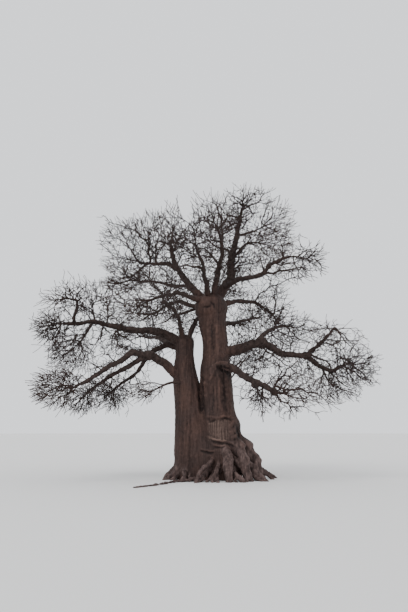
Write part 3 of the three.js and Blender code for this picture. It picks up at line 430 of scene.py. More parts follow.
# Side branches of each bough or mass: where one leaves, (x, z) as the camera sees it on the plane y = 0,
# then its length, the angles that it leaves and ends at, in degrees round from the right, its thickness,
# and how far back it leads
BRANCHES = {
    "upper_left_bough": [
        ((-2.22, 7.76), 1.63, 85, 135, 0.075, -0.25),
        ((-2.80, 9.02), 1.04, 150, 185, 0.04, -0.2),
        ((-2.26, 8.31), 0.92, 80, 100, 0.05, 0.5),
        ((-2.29, 7.76), 1.01, 205, 215, 0.085, 0.2),
        ((-2.95, 7.25), 0.83, 120, 30, 0.05, -0.4),
    ],
    "left_leader": [
        ((-1.64, 8.66), 1.30, 72, 58, 0.075, -0.2),
        ((-1.56, 8.94), 0.76, 122, 112, 0.05, 0.3),
        ((-1.34, 7.91), 0.62, 92, 88, 0.09, 0.15),
        ((-1.31, 8.31), 0.80, 60, 52, 0.04, 0.4),
        ((-1.64, 8.62), 0.70, 165, 175, 0.06, -0.35),
        ((-1.16, 7.68), 0.88, 4, 0, 0.05, 0.3),
    ],
    "upper_left_long_bough": [
        ((-2.51, 7.17), 1.50, 178, 225, 0.075, 0.2),
        ((-3.50, 7.10), 1.30, 255, 272, 0.045, -0.8),
    ],
    "mid_left_front_bough": [
        ((-2.11, 6.44), 0.75, 207, 185, 0.06, -0.3),
        ((-1.75, 6.71), 0.45, 280, 262, 0.035, 0.3),
    ],
    "mid_left_back_bough": [
        ((-2.04, 5.87), 0.95, 220, 172, 0.06, 0.2),
        ((-1.45, 6.21), 0.50, 304, 310, 0.045, -0.5),
        ((-0.29, 6.02), 1.64, 184, 210, 0.10, 0.3),
    ],
    "front_leader": [
        ((-0.16, 7.66), 0.95, 165, 195, 0.075, 0.2),
    ],
    "middle_leader": [
        ((0.41, 7.68), 1.30, 112, 172, 0.085, -0.2),
        ((0.52, 8.38), 1.90, 90, 108, 0.085, 0.9),
        ((0.19, 8.11), 1.15, 178, 212, 0.05, -0.3),
    ],
    "right_leader": [
        ((1.21, 10.19), 1.15, 32, 50, 0.07, -0.3),
        ((1.21, 10.40), 0.60, 88, 58, 0.05, 0.1),
        ((1.17, 10.50), 0.50, 96, 92, 0.035, -0.1),
        ((1.14, 9.66), 1.06, 156, 132, 0.06, 0.3),
        ((1.14, 9.50), 1.02, 200, 196, 0.08, -0.4),
        ((0.88, 9.46), 0.50, 150, 124, 0.04, 0.2),
        ((0.92, 7.68), 0.95, 25, 5, 0.06, 0.4),
        ((0.95, 7.68), 1.20, 66, 62, 0.07, -0.5),
        ((1.43, 8.86), 0.80, 352, 356, 0.04, -0.3),
        ((0.92, 7.40), 0.85, 48, 80, 0.05, -0.3),
        ((0.96, 8.00), 0.70, 20, -25, 0.045, 0.3),
    ],
    "right_leader_side_twigs": [
        ((2.01, 9.42), 1.12, 305, 350, 0.05, 0.1),
        ((2.01, 9.42), 1.06, 88, 84, 0.04, -0.1),
        ((2.27, 9.54), 0.77, 62, 85, 0.045, 0.2),
    ],
    "upper_right_bough": [
        ((2.08, 7.40), 1.68, 20, -8, 0.08, 0.5),
        ((1.97, 7.64), 0.70, 90, 96, 0.05, 0.2),
        ((1.15, 7.12), 0.75, 80, 55, 0.045, -0.2),
        ((1.60, 7.10), 0.60, 105, 80, 0.04, 0.3),
        ((2.49, 7.91), 0.88, -4, 0, 0.045, -0.3),
        ((3.36, 8.11), 0.74, 15, 35, 0.04, -0.1),
    ],
    "right_middle_bough": [
        ((2.38, 5.83), 0.89, 306, 340, 0.06, 0.2),
        ((1.72, 6.40), 1.88, 48, 15, 0.055, -0.5),
    ],
    "back_right_bough": [
        ((1.17, 5.57), 0.50, 333, 326, 0.045, -0.3),
        ((0.95, 5.50), 0.60, -60, -35, 0.035, -0.2),
    ],
    "great_right_bough": [
        ((3.58, 4.49), 1.38, 15, -80, 0.075, -0.4),
        ((1.72, 4.56), 2.50, -30, -38, 0.055, -0.5),
        ((1.97, 4.38), 1.10, 225, 182, 0.05, 0.4),
        ((3.65, 4.26), 0.66, 270, 285, 0.035, 0.2),
        ((0.98, 4.72), 0.80, 98, 70, 0.04, 0.4),
        ((2.65, 4.50), 0.75, 55, 92, 0.045, 0.3),
        ((3.00, 4.42), 0.65, 78, 40, 0.04, -0.3),
    ],
    "right_inner_bough": [
        ((2.34, 5.23), 0.90, -62, -35, 0.05, -0.4),
        ((2.59, 5.27), 1.16, -42, -2, 0.05, 0.3),
        ((2.45, 5.38), 1.10, 52, 34, 0.045, 0.2),
    ],
    "right_rising_bough": [
        ((4.31, 4.97), 1.17, -4, 0, 0.045, 0.3),
        ((4.13, 4.82), 0.95, 0, -85, 0.05, -0.4),
    ],
    "right_dipping_bough": [
        ((4.27, 3.79), 1.09, -38, -43, 0.06, 0.3),
        ((4.93, 3.97), 0.86, 68, 62, 0.04, 0.4),
        ((4.93, 3.97), 0.54, 110, 106, 0.04, -0.4),
        ((5.00, 4.04), 0.92, 12, 3, 0.04, 0.2),
        ((5.00, 3.97), 1.18, -30, -16, 0.05, -0.2),
        ((4.97, 3.90), 0.98, -68, -60, 0.045, 0.1),
        ((4.38, 3.75), 0.67, -78, -85, 0.035, -0.2),
    ],
    "low_right_bough": [
        ((2.48, 3.20), 1.55, 88, 22, 0.065, 0.3),
        ((2.48, 3.20), 0.95, 55, 110, 0.045, -0.2),
        ((2.45, 3.20), 2.00, 2, -32, 0.065, -0.4),
        ((2.38, 3.06), 1.10, -42, -48, 0.06, -0.2),
        ((3.07, 2.56), 0.93, -5, -24, 0.035, 0.2),
        ((1.90, 3.24), 1.12, 230, 285, 0.045, 0.1),
        ((1.94, 3.21), 1.00, -76, -96, 0.045, -0.3),
        ((1.02, 3.86), 0.95, 30, 48, 0.05, 0.5),
        ((1.10, 3.72), 0.75, -5, 25, 0.035, 0.3),
    ],
    "left_hook_bough": [
        ((-4.96, 6.48), 0.71, 92, 35, 0.045, 0.2),
        ((-5.17, 6.44), 0.55, 120, 98, 0.04, -0.2),
        ((-5.28, 6.56), 0.56, 200, 184, 0.035, 0.1),
        ((-4.77, 6.25), 1.19, -12, -33, 0.045, 0.3),
    ],
    "left_drop_twigs": [
        ((-4.88, 4.63), 0.68, 200, 185, 0.05, -0.2),
    ],
    "great_left_bough": [
        ((-3.68, 5.68), 1.16, 92, 68, 0.05, 0.5),
        ((-3.28, 5.27), 0.80, 228, 256, 0.06, -0.3),
        ((-3.24, 5.19), 0.98, -50, -25, 0.06, 0.3),
        ((-3.90, 5.36), 0.90, 252, 232, 0.05, 0.2),
        ((-3.55, 5.25), 1.05, 280, 252, 0.045, -0.2),
        ((-5.61, 5.45), 0.79, 240, 250, 0.05, -0.2),
        ((-5.39, 5.45), 1.06, 245, 260, 0.05, 0.3),
        ((-4.23, 5.68), 0.58, 110, 148, 0.04, 0.2),
    ],
    "low_left_bough": [
        ((-4.85, 3.21), 1.20, 162, 215, 0.06, -0.2),
        ((-4.85, 3.17), 1.08, 232, 202, 0.05, 0.3),
        ((-3.93, 3.75), 0.61, 130, 155, 0.04, 0.3),
        ((-3.28, 4.15), 0.69, 127, 155, 0.04, -0.3),
    ],
    "low_left_middle_bough": [
        ((-4.15, 3.21), 0.88, 225, 254, 0.06, -0.2),
        ((-3.46, 3.61), 0.73, 268, 205, 0.045, -0.3),
    ],
    "inner_left_bough": [
        ((-3.31, 3.17), 0.77, 248, 292, 0.05, 0.2),
        ((-2.73, 3.53), 0.70, 270, 264, 0.04, -0.4),
        ((-2.62, 3.61), 0.57, -66, -58, 0.035, 0.3),
        ((-3.31, 3.10), 0.49, 197, 172, 0.04, -0.2),
    ],
}

# Where the sky shows between the boughs, as the camera sees it on the plane y = 0: the middle (x, z) and
# the half width and height of each opening
OPEN_SKY = [
    ((-0.32, 4.49), (0.15, 0.90)),
    ((-1.71, 3.68), (0.42, 0.42)),
    ((-2.48, 4.86), (0.65, 0.20)),
    ((4.10, 6.50), (0.95, 0.75)),
    ((-4.20, 7.45), (0.42, 0.32)),
    ((5.00, 7.90), (0.62, 0.95)),
    ((-0.85, 9.85), (0.20, 0.60)),
    ((5.60, 5.60), (0.75, 0.55)),
]

# Marks on the front of the bark, seen square on: points (x, z), width, and height, below 0 for a
# groove. A mark with one point is a round lump or dimple.
MARKS = [
    # The lip over the foot of the bare patch, the gap under it, and a second thin lip
    ([(0.0, 1.45), (0.16, 1.38), (0.30, 1.34), (0.54, 1.33), (0.70, 1.28), (0.85, 1.22)], 0.045, 0.075),
    ([(0.10, 1.31), (0.30, 1.25), (0.54, 1.24), (0.72, 1.19), (0.85, 1.12)], 0.045, -0.07),
    ([(0.20, 1.17), (0.38, 1.16), (0.56, 1.17)], 0.03, 0.045),
    ([(0.18, 1.10), (0.38, 1.09), (0.56, 1.10)], 0.03, -0.03),
    # The scars over the bare patch
    ([(0.0, 2.06), (0.03, 1.96), (0.14, 1.99), (0.22, 2.03)], 0.035, -0.07),
    ([(0.46, 2.03), (0.60, 2.09), (0.80, 2.04)], 0.04, -0.08),
    ([(0.02, 2.14), (0.24, 2.11), (0.50, 2.14), (0.80, 2.15)], 0.05, 0.04),
    # The dark fold low on the left of the right stem
    ([(-0.24, 0.97), (-0.02, 0.91), (0.20, 0.91)], 0.04, -0.06),
    ([(-0.24, 1.04), (-0.02, 0.99), (0.18, 0.99)], 0.04, 0.035),
    # The slit between the stems
    ([(-0.24, 3.50), (-0.25, 3.0), (-0.23, 2.55), (-0.20, 2.30)], 0.07, -0.12),
    ([(-0.13, 3.30)], 0.06, 0.05),
    ([(-0.15, 2.90)], 0.06, 0.05),
    # The collar under the low right bough, with a recess below it
    ([(0.10, 3.66), (0.16, 3.84), (0.28, 3.96), (0.46, 4.02), (0.66, 3.99), (0.86, 3.82)], 0.07, 0.09),
    ([(0.38, 3.88), (0.52, 3.82), (0.68, 3.74), (0.82, 3.62)], 0.09, -0.14),
    # A wide shallow groove down the right of the stem, which the painted shade in grooves turns into a dark
    # band
    ([(0.55, 3.72), (0.60, 3.3), (0.62, 2.8), (0.60, 2.4)], 0.12, -0.06),
    ([(0.26, 3.86), (0.20, 3.66), (0.06, 3.42)], 0.04, 0.06),
    ([(0.36, 3.62), (0.38, 3.1), (0.42, 2.4)], 0.045, 0.045),
    ([(0.58, 3.60), (0.62, 3.0), (0.65, 2.4)], 0.045, -0.05),
    ([(0.75, 3.50), (0.78, 2.9), (0.82, 2.3)], 0.045, 0.04),
    ([(0.16, 3.20), (0.17, 2.7), (0.14, 2.3)], 0.04, -0.035),
    # Long upright ridges of the right stem
    ([(0.34, 5.55), (0.31, 5.0), (0.34, 4.35)], 0.06, 0.05),
    ([(0.02, 5.9), (0.0, 5.2), (0.06, 4.5), (0.04, 3.9)], 0.06, 0.035),
    ([(0.16, 5.7), (0.15, 5.0), (0.18, 4.3)], 0.05, -0.03),
    # Burls and hollows under the fork of the right stem
    ([(-0.12, 6.30)], 0.17, 0.07),
    ([(0.10, 6.38)], 0.13, 0.05),
    ([(-0.20, 6.08), (-0.06, 6.05), (0.06, 6.10)], 0.05, -0.07),
    ([(0.14, 6.22), (0.22, 6.12), (0.26, 5.98)], 0.05, -0.06),
    # Burls between the bare patch and the right shoulder
    ([(0.78, 1.84)], 0.09, 0.06),
    ([(0.92, 1.70)], 0.10, 0.08),
    ([(0.80, 1.58)], 0.08, 0.06),
    ([(0.98, 1.50)], 0.09, 0.07),
    ([(0.84, 1.42)], 0.07, 0.05),
    ([(1.08, 1.60)], 0.08, 0.06),
    ([(0.88, 1.96)], 0.07, 0.05),
    ([(0.88, 1.78)], 0.04, -0.05),
    ([(0.90, 1.58)], 0.04, -0.06),
    ([(0.92, 1.36)], 0.045, -0.06),
]
# Swellings and hollows of the foot's right flank: height, spread, and how far out, below 0 for a hollow
FLANK = [(1.16, 0.17, 0.13), (1.60, 0.19, -0.11), (0.70, 0.14, 0.04)]
# The bare patch on the front of the right stem, where strips of bark are gone: where it starts, is full,
# starts to end and has ended, along x and along z
BARE_ACROSS = (-0.02, 0.06, 0.66, 0.78)
BARE_UPRIGHT = (1.30, 1.36, 1.97, 2.05)
BARE_DEEP = 0.022

# Kinds of soft lumps: height, size along x, y and z, how many sizes are mixed, and a shift of the noise
FOLDS = (0.03, (0.34, 0.34, 2.6), 2, 0.0)
FINE_FOLDS = (0.014, (0.1, 0.1, 0.9), 2, 7.7)
KNOBS = (0.010, (0.11, 0.11, 0.13), 3, 1.3)
BOUGH_BUMPS = (0.024, (0.19, 0.19, 0.19), 2, 8.2)
ROOT_GNARLS = (0.028, (0.13, 0.13, 0.24), 2, 6.6)
FLUTES = (0.026, (0.055, 0.4, 1.1), 2, 4.4)
PATCH_EDGE = (0.05, (0.12, 0.12, 0.12), 2, 3.1)
MARK_WAVER = (0.035, (0.22, 0.22, 0.22), 2, 5.5)
MARK_UNEVEN = (0.55, (0.15, 0.15, 0.15), 1, 9.1)
MARK_STRENGTH = 0.75
MARK_END = 0.06  # how far a mark's ends are along the fade at each end
SMOOTHER_BARE = 0.6  # how much of the folds the bare patch lacks
SMOOTHER_ROOT = 0.7  # and the roots

# From where to where along each measure the bark of a side or a kind of limb fades in or out
FACING = (0.1, 0.4)  # how far a face looks to the front
FRONT_PLACE = (-0.6, 0.0)  # how far to the front a place lies
FLANK_FACING = (0.3, 0.8)  # how far a face looks to the right
FLANK_PLACE = (0.6, 1.0)  # how far to the right a place lies
ROOT_EDGE = (-0.12, 0.06)  # how deep a root's skin lies in the stems'
ROOT_TOP = (0.9, 1.5)  # how high a place lies
BOUGH_EDGE = (0.05, 0.75)  # how far out of the stems a place lies
BOUGH_FOOT = (2.2, 3.0)  # how high a place lies

# The bark's mesh
FAR_AWAY = 9.0
NEARBY = 0.7  # a limb is only measured within this distance of it
SETTLING_ROUNDS = 4
LONGEST_MOVE = 0.08  # onto the skin in one round
DEPTH_SHADE = 0.12  # relief that takes the bark's colour from its middle to its lightest or darkest: painted highlight on high places, painted shade in deep ones
GROOVE_SHADE = 0.02  # and the same for how sharply a ridge or groove is cut

# Colours over the bark, as shares of it: in the dark and the light grain, a painted highlight on ridges and
# painted shade in grooves
GRAIN_DARK = (0.72, 0.70, 0.70, 1)
GRAIN_LIGHT = (1.16, 1.15, 1.13, 1)
RIDGE_PAINTED_HIGHLIGHT = (1.24, 1.20, 1.18, 1)
GROOVE_PAINTED_SHADE = (0.30, 0.27, 0.27, 1)
TRUNK_GRAIN = {"Streaks": (22, 22, 2), "Roughness": 0.62}
BOUGH_GRAIN = {"Streaks": (20, 20, 11), "Roughness": 0.6}
TWIG_GRAIN = {"Streaks": (50, 50, 17)}


# The seeded rule

def seeded(seed):
    """Repeatable numbers from 0 to 1, the same as the solids' rule draws."""
    state = seed

    def draw():
        nonlocal state
        state = (state * 1664525 + 1013904223) % 2**32
        return state / 2**32

    return draw


def shake(random):
    """A push in any direction, up to half along each axis."""
    return np.array([random() - 0.5, random() - 0.5, random() - 0.5])


def crooked(points, share, random):
    """Points with one more in the middle of each span, pushed sideways by a share of the span."""
    bent = [points[0]]
    for start, end in zip(points, points[1:]):
        push = shake(random) * 2 * share * np.linalg.norm(end - start)
        bent += [(start + end) / 2 + push, end]
    return bent


def smooth(points, count):
    """A curve through the points, in that many even steps of its parameter."""
    held = np.vstack([2 * points[0] - points[1], points, 2 * points[-1] - points[-2]])
    at = np.linspace(0, len(points) - 1, count + 1)
    span = np.minimum(at.astype(int), len(points) - 2)
    t = (at - span)[:, None]
    before, start, end, after = held[span], held[span + 1], held[span + 2], held[span + 3]
    leaving, arriving = (end - before) / 2, (after - start) / 2
    return (start + leaving * t + (3 * (end - start) - 2 * leaving - arriving) * t**2
            + (2 * (start - end) + leaving + arriving) * t**3)


def rounded(number):
    return int(math.floor(number + 0.5))


def length_of(line):
    return np.linalg.norm(np.diff(line, axis=0), axis=1).sum()


def unit(vector):
    return vector / max(np.linalg.norm(vector), 1e-12)


# Limbs: the middle line's points and the radius at each

def limb_line(number, fineness, collar=LIMB_COLLAR):
    """A bough: a smooth crooked curve that tapers, with a collar at its start."""
    _, thick, thin, through = BOUGHS[number]
    bent = crooked(np.array(through), LIMB_CROOK, seeded(BOUGH_SEED + number))
    length = length_of(smooth(bent, MEASURING_STEPS))
    count = max(FEWEST_RINGS, rounded(length / LIMB_RING_STEP)) * fineness
    share = np.linspace(0, 1, count + 1)
    radii = (thick + (thin - thick) * share**LIMB_TAPER) / 2 * (1 + collar * np.exp(-share * COLLAR_FADE))
    radii[0] *= HIDDEN_START
    return smooth(bent, count), radii


def root_line(row, fineness, seed):
    """A root: out of its stem's middle, down over the flare and under the ground, a little uneven."""
    stem, bearing, rise, reach, thick, thin, sway, knee = row
    _, x, y, wide, _ = next(ring for ring in stem if ring[0] >= 0.5)
    angle = math.radians(bearing)
    along = np.array([math.cos(angle), math.sin(angle), 0])
    across = np.array([-math.sin(angle), math.cos(angle), 0])

    def out(distance, side, height):
        return np.array([x, y, height]) + along * distance + across * side

    inside = out(wide * 0.5, 0, rise + thick * 0.45)
    shoulder = out(wide * (0.84 + 0.08 * knee), sway * 0.2, rise * (0.72 + 0.12 * knee))
    bend = out(wide + (reach - wide) * (0.4 + 0.26 * knee), sway, rise * (0.24 + 0.24 * knee))
    ground = out(reach, sway * 0.4, -thin * 0.1)
    below = out(reach + thin, 0, -thin * 0.9)
    through = np.array([inside, shoulder, bend, ground, below])
    random = seeded(seed)
    through[1:4] += [shake(random) * ROOT_UNEVEN * math.sqrt(thick) for _ in range(3)]
    share = np.linspace(0, 1, ROOT_RINGS * fineness + 1)
    swells = [[ROOT_THINNEST + ROOT_SWELL * random()] for _ in range(ROOT_RINGS)]
    swell = smooth(np.array([[1.0], *swells, [1.0]]), len(share) - 1)
    line = smooth(crooked(through, ROOT_CROOK, random), len(share) - 1)
    return line, (thick + (thin - thick) * share**ROOT_TAPER) / 2 * swell[:, 0]


def stem_line(rows, fineness):
    """A stem as one limb. It is slimmer at the ground than the solid, because roots fill its foot.

    A limb ends in a round cap, so the last rings are lowered to leave its top where the solid's is.
    """
    rings = smooth(np.array(rows), len(rows) * fineness)
    slim = FOOT_SLIM + (1 - FOOT_SLIM) * np.clip(rings[:, 0] / FOOT_HEIGHT, 0, 1)
    rings[:, 0] = np.minimum(rings[:, 0], rows[-1][0] - STEM_CAP * rings[:, 3])
    return rings[:, [1, 2, 0]], rings[:, 3] * slim


def stem_segments(rows, low, high):
    """The part of a stem that twigs keep clear of, as the solids' rule takes it."""
    first = max(next(i for i, ring in enumerate(rows) if ring[0] > low) - 1, 0)
    inside = [ring for i, ring in enumerate(rows) if i >= first and (i == first or rows[i - 1][0] < high)]
    return np.array([(x, y, z) for z, x, y, _, _ in inside]), np.array([max(r[3:]) for r in inside])


# Twigs

def segment_gaps(start, end, starts, ends):
    """Distances from one straight segment to many."""
    u, v, w = end - start, ends - starts, start - starts
    uu, uv, vv = u @ u, v @ u, (v * v).sum(1)
    uw, vw = w @ u, (v * w).sum(1)
    square = uu * vv - uv * uv
    s = np.where(square > 1e-18, np.clip((uv * vw - vv * uw) / np.maximum(square, 1e-18), 0, 1), 0)
    t = np.clip((uv * s + vw) / np.maximum(vv, 1e-15), 0, 1)
    s = np.clip((uv * t - uw) / max(uu, 1e-15), 0, 1)
    return np.linalg.norm(w + u * s[:, None] - v * t[:, None], axis=1)


class Segments:
    """Straight pieces of limbs or twigs, for finding what a new twig would touch."""

    def __init__(self):
        self.starts = np.zeros((0, 3))
        self.ends = np.zeros((0, 3))
        self.radii = np.zeros(0)

    def take(self, starts, ends, radii):
        self.starts = np.vstack([self.starts, starts])
        self.ends = np.vstack([self.ends, ends])
        self.radii = np.append(self.radii, radii)

    def add(self, line, radii):
        self.take(line[:-1], line[1:], np.maximum(radii[:-1], radii[1:]))

    def touch(self, start, end, radius):
        if not len(self.radii):
            return False
        gaps = segment_gaps(start, end, self.starts, self.ends)
        return bool((gaps < self.radii + radius + TWIG_CLEARANCE).any())


def joints(start, heading, end, random, step, crook, curve=TWIG_BEND):
    """Joints from one place to another, one step apart. They set off along a heading and bend."""
    span = np.linalg.norm(end - start)
    count = max(2, rounded(span / step))
    bend = start + heading * span * curve
    found = []
    for i in range(1, count):
        share = i / count
        push = shake(random) * 2 * crook * span / count
        found.append(start * (1 - share)**2 + bend * 2 * share * (1 - share) + end * share**2 + push)
    return found + [end]


class Growth:
    """The joints of a spray of twigs, each with its parent, its way from the start and its heading."""

    def __init__(self, first, heading):
        self.at = np.array([first])
        self.way = np.zeros(1)
        self.heading = np.array([heading])
        self.parent = [-1]
        self.runs = []

    def extend(self, parent, places):
        """A new twig from a joint through some places."""
        places = np.array(places)
        steps = np.diff(np.vstack([self.at[parent], places]), axis=0)
        lengths = np.linalg.norm(steps, axis=1)
        first = len(self.parent)
        self.way = np.append(self.way, self.way[parent] + np.cumsum(lengths))
        self.at = np.vstack([self.at, places])
        self.heading = np.vstack([self.heading, steps / np.maximum(lengths, 1e-9)[:, None]])
        self.parent += [parent, *range(first, first + len(places) - 1)]
        self.runs.append([parent, *range(first, first + len(places))])

    def nearest(self, end, first=1, turn_weight=TURN_WEIGHT, inward_weight=0.0):
        """The joint that a new twig to that end leaves, by distance, turn and way round."""
        off = end - self.at[first:]
        span = np.linalg.norm(off, axis=1)
        turn = 1 - (off * self.heading[first:]).sum(1) / np.maximum(span, 1e-3)
        cost = span * (1 + turn_weight * turn) + PATH_WEIGHT * self.way[first:]
        if inward_weight:
            out = self.at[first:] - self.at[0]
            far = np.maximum(np.linalg.norm(out, axis=1) * span, 1e-3)
            cost += span * inward_weight * (1 - (off * out).sum(1) / far)
        return int(cost.argmin()) + first

    def seen_nearest(self, flat):
        """The joint that the camera sees nearest to (x, z) on the plane y = 0."""
        return int(np.linalg.norm(seen(self.at) - flat, axis=1).argmin())

    def refined(self, parts):
        """The same twigs as smooth curves, with more joints."""
        finer = Growth(self.at[0], self.heading[0])
        joint = {0: 0}
        for run in self.runs:
            through = self.at[run]
            line = smooth(through, parts * (len(run) - 1))
            finer.extend(joint[run[0]], line[1:])
            last = len(finer.parent) - 1
            for step, old in enumerate(reversed(run[1:])):
                joint[old] = last - parts * step
        return finer

    def carried(self):
        """The number of tips that each joint carries."""
        carried = np.zeros(len(self.parent))
        leaf = np.ones(len(self.parent), bool)
        leaf[[parent for parent in self.parent if parent >= 0]] = False
        carried[leaf] = 1
        for i in range(len(self.parent) - 1, 0, -1):
            carried[self.parent[i]] += carried[i]
        return carried

    def radii(self, thick, tip, taper=0.0):
        """Radii by the share of all tips that a joint carries, down to a tip's own."""
        carried = self.carried()
        share = (carried / carried[0])**PIPE_POWER * np.exp(-taper * self.way)
        return np.maximum(thick / 2 * share, tip / 2)


MIDDLES = np.array([mass[2] for mass in MASSES])
REACHES = np.array([mass[3] for mass in MASSES])


def seen(places):
    """Where the camera sees places on the plane y = 0, as x and z."""
    return EYE[[0, 2]] + (places[:, [0, 2]] - EYE[[0, 2]]) * -EYE[1] / (places[:, 1:2] - EYE[1])


def at_depth(flat, depth):
    """The place at that depth which the camera sees at (x, z) on the plane y = 0."""
    across, up = EYE[[0, 2]] + (flat - EYE[[0, 2]]) * (1 - depth / EYE[1])
    return np.array([across, depth, up])


def outness(index, place):
    """How far out in its own space a place lies: 1 is the edge."""
    return np.linalg.norm((place - MIDDLES[index]) / REACHES[index])


def in_own_space(index, place):
    return np.linalg.norm((place - MIDDLES) / REACHES, axis=1).argmin() == index


def twig_ends(index, random):
    """Even directions over a ball, each at its share of the mass's reach."""
    count = rounded(TWIGS_PER_METRE * REACHES[index].sum() / 3)
    ends = []
    for i in range(count):
        height = 1 - (2 * i + 1) / count
        turn = i * GOLDEN_ANGLE + random()
        flat = math.sqrt(1 - height**2)
        share = INNER_REACH if i % 3 == 2 else OUTER_REACH + (1 - OUTER_REACH) * random()
        way = np.array([flat * math.cos(turn), flat * math.sin(turn), height])
        ends.append(way * share * REACHES[index] + MIDDLES[index])
    return ends


def main_twigs(index, limbs, in_the_way, other_twigs):
    """The same twigs as the solid of this mass has."""
    name, bough, middle, _, *rest = MASSES[index]
    random = seeded(MASS_SEED + index)
    line, radii = limbs[bough]
    along = unit(line[-1] - line[-2])
    if rest:
        first, thick, path = np.array(rest[0]), rest[1], rest[2]
    else:
        first, thick, path = line[-1] + along * JOINT_GAP, 2 * radii[-1], []
    growth = Growth(first, along)
    for stop in [*map(np.array, path), np.array(middle)]:
        last = len(growth.parent) - 1
        heading = unit(stop - first) if rest and last == 0 else growth.heading[last]
        growth.extend(last, joints(growth.at[last], heading, stop, random, TWIG_STEP, TWIG_CROOK))
    ends = [end for end in twig_ends(index, random) if in_own_space(index, end)]
    ends.sort(key=lambda end: np.linalg.norm(end - first))
    for end in ends:
        best = growth.nearest(end)
        places = joints(growth.at[best], growth.heading[best], end, random, TWIG_STEP, TWIG_CROOK)
        steps = [growth.at[best], *places]
        skipped = any(in_the_way.touch(a, b, TWIG_TIP) or other_twigs.touch(a, b, TWIG_TIP)
                      or outness(index, b) > FULL_REACH for a, b in zip(steps, steps[1:]))
        if not skipped:
            growth.extend(best, places)
    return growth, thick, random


def free_ends(ends):
    """Those ends that stand in a bunch, clear of the open sky, near enough to the solids' own box."""
    if not len(ends):
        return np.zeros((0, 3))
    ends = np.array(ends)
    low, high = np.array(CAD_BOX)
    free = ((ends > low - BOX_MARGIN) & (ends < high + BOX_MARGIN)).all(1) & (ends[:, 2] > LOWEST_TWIG)
    for middle, reach in OPEN_SKY:
        free &= np.linalg.norm((seen(ends) - middle) / reach, axis=1) > 1
    bunched = np.array([noise.noise(Vector(end / BUNCH_SIZE)) for end in ends])
    return ends[free & (bunched > BUNCH_GAP)]


def even_ends(index, tries, random):
    """Places spread through a mass's space, fewer at its edge and where masses overlap."""
    ends = []
    for i in range(tries):
        way = 2 * ((0.5 + (i + 1) * EVEN_STEPS) % 1) - 1
        far = np.linalg.norm(way)
        end = way * REACHES[index] + MIDDLES[index]
        draw = random()
        if far > 1 or not in_own_space(index, end):
            continue
        from_front = np.linalg.norm(((end - MIDDLES) / REACHES)[:, [0, 2]], axis=1)
        depth = 2 * (REACHES[:, 1] * np.sqrt(np.clip(1 - from_front**2, 0, 1))).sum()
        if draw < min(1, EVEN_DEPTH / depth) * (1 - EDGE_THINNING * far**4):
            ends.append(end)
    return free_ends(ends)


def add_fine_twigs(growth, ends, random, step, inward_weight=0.0, blocked=None):
    """Fine twigs out to those ends: the first are long, and later ones fill the room between them."""
    for end in ends:
        best = growth.nearest(end, 1, FINE_TURN_WEIGHT, inward_weight)
        start = growth.at[best]
        if np.linalg.norm(end - start) > LONGEST_FINE_TWIG:
            continue
        places = joints(start, growth.heading[best], end, random, step, FINE_CROOK, FINE_BEND)
        if blocked is None or not any(blocked.touch(a, b, 0) for a, b in zip([start, *places], places)):
            growth.extend(best, places)


def add_branches(name, growth, random):
    """The side branches in the table of one bough or mass. Gives the joints and radii of each."""
    made = []
    for flat, length, leaves, ends, thick, back in BRANCHES.get(name, []):
        joint = growth.seen_nearest(flat)
        count = max(3, rounded(length / BRANCH_STEP))
        flat, depth = seen(growth.at[[joint]])[0], growth.at[joint][1]
        through = [growth.at[joint]]
        for i in range(count):
            turn = leaves + (ends - leaves) * (i + 0.5) / count + BRANCH_KINK * (random() - 0.5)
            way = np.array([math.cos(math.radians(turn)), math.sin(math.radians(turn))])
            flat = flat + way * length / count
            depth += back / count
            through.append(at_depth(flat, depth))
        line = smooth(np.array(through), 2 * count)
        growth.extend(joint, line[1:])
        widths = thick * BRANCH_GIRTH * np.linspace(1, BRANCH_TIP, len(line) - 1)
        made.append((growth.runs[-1][1:], widths))
    return made


def add_even_branches(growth, first, last, random):
    """Side branches at even steps along a bough, each a golden angle further round it."""
    made = []
    for number, joint in enumerate(range(first, last, BRANCH_EVERY)):
        along = growth.heading[joint]
        aside = unit(np.cross(along, (0.2, 0.1, 1.0)))
        turn = number * GOLDEN_ANGLE
        way = aside * math.cos(turn) + np.cross(along, aside) * math.sin(turn)
        length = EVEN_BRANCH_LENGTH + EVEN_BRANCH_SPREAD * random()
        lead = unit(way + along * EVEN_BRANCH_FORWARD + EVEN_BRANCH_LIFT)
        end = growth.at[joint] + lead * length
        if len(free_ends([end])):
            places = joints(growth.at[joint], way, end, random, BRANCH_STEP, EVEN_BRANCH_CROOK)
            growth.extend(joint, places)
            made.append((growth.runs[-1][1:],
                         EVEN_BRANCH_GIRTH * length * np.linspace(1, EVEN_BRANCH_TIP, len(places))))
    return made


def shoot_ends(growth, first, count, reach, random):
    """Places round the joints of a bough and of its side branches."""
    ends = []
    for _ in range(count):
        joint = first + int(random() * (len(growth.parent) - first))
        ends.append(growth.at[joint] + unit(shake(random)) * (SHORTEST_SHOOT + reach * random()))
    return free_ends(ends)


def add_spurs(growth, radii, share, length, random):
    """A straight tip on each twig's end, and short spurs at a share of the joints. Gives all radii."""
    low, high = np.array(CAD_BOX)
    leaves = growth.carried() == 1
    leaves[growth.parent[1:]] = False
    for joint in range(2, len(leaves)):
        side = unit(np.cross(growth.heading[joint], shake(random)))
        if leaves[joint]:
            outward = unit(growth.at[joint] - CROWN_MIDDLE)
            shortest, longer = TIP_LENGTHS
            way = unit(growth.heading[joint] + outward * TIP_OUTWARD + side * TIP_ASIDE)
            way *= shortest + longer * random()
        elif random() < share and radii[joint] < SHOOT_GIRTH / 2:
            way = growth.heading[joint] * SPUR_FORWARD + side * SPUR_ASIDE
            way *= SPUR_SHORTEST + random()
        else:
            continue
        end = growth.at[joint] + way * length
        if ((end > low - TIP_MARGIN) & (end < high + TIP_MARGIN)).all():
            growth.extend(joint, [end])
    return np.append(radii, np.full(len(growth.parent) - len(radii), radii.min()))


# Meshes from arrays

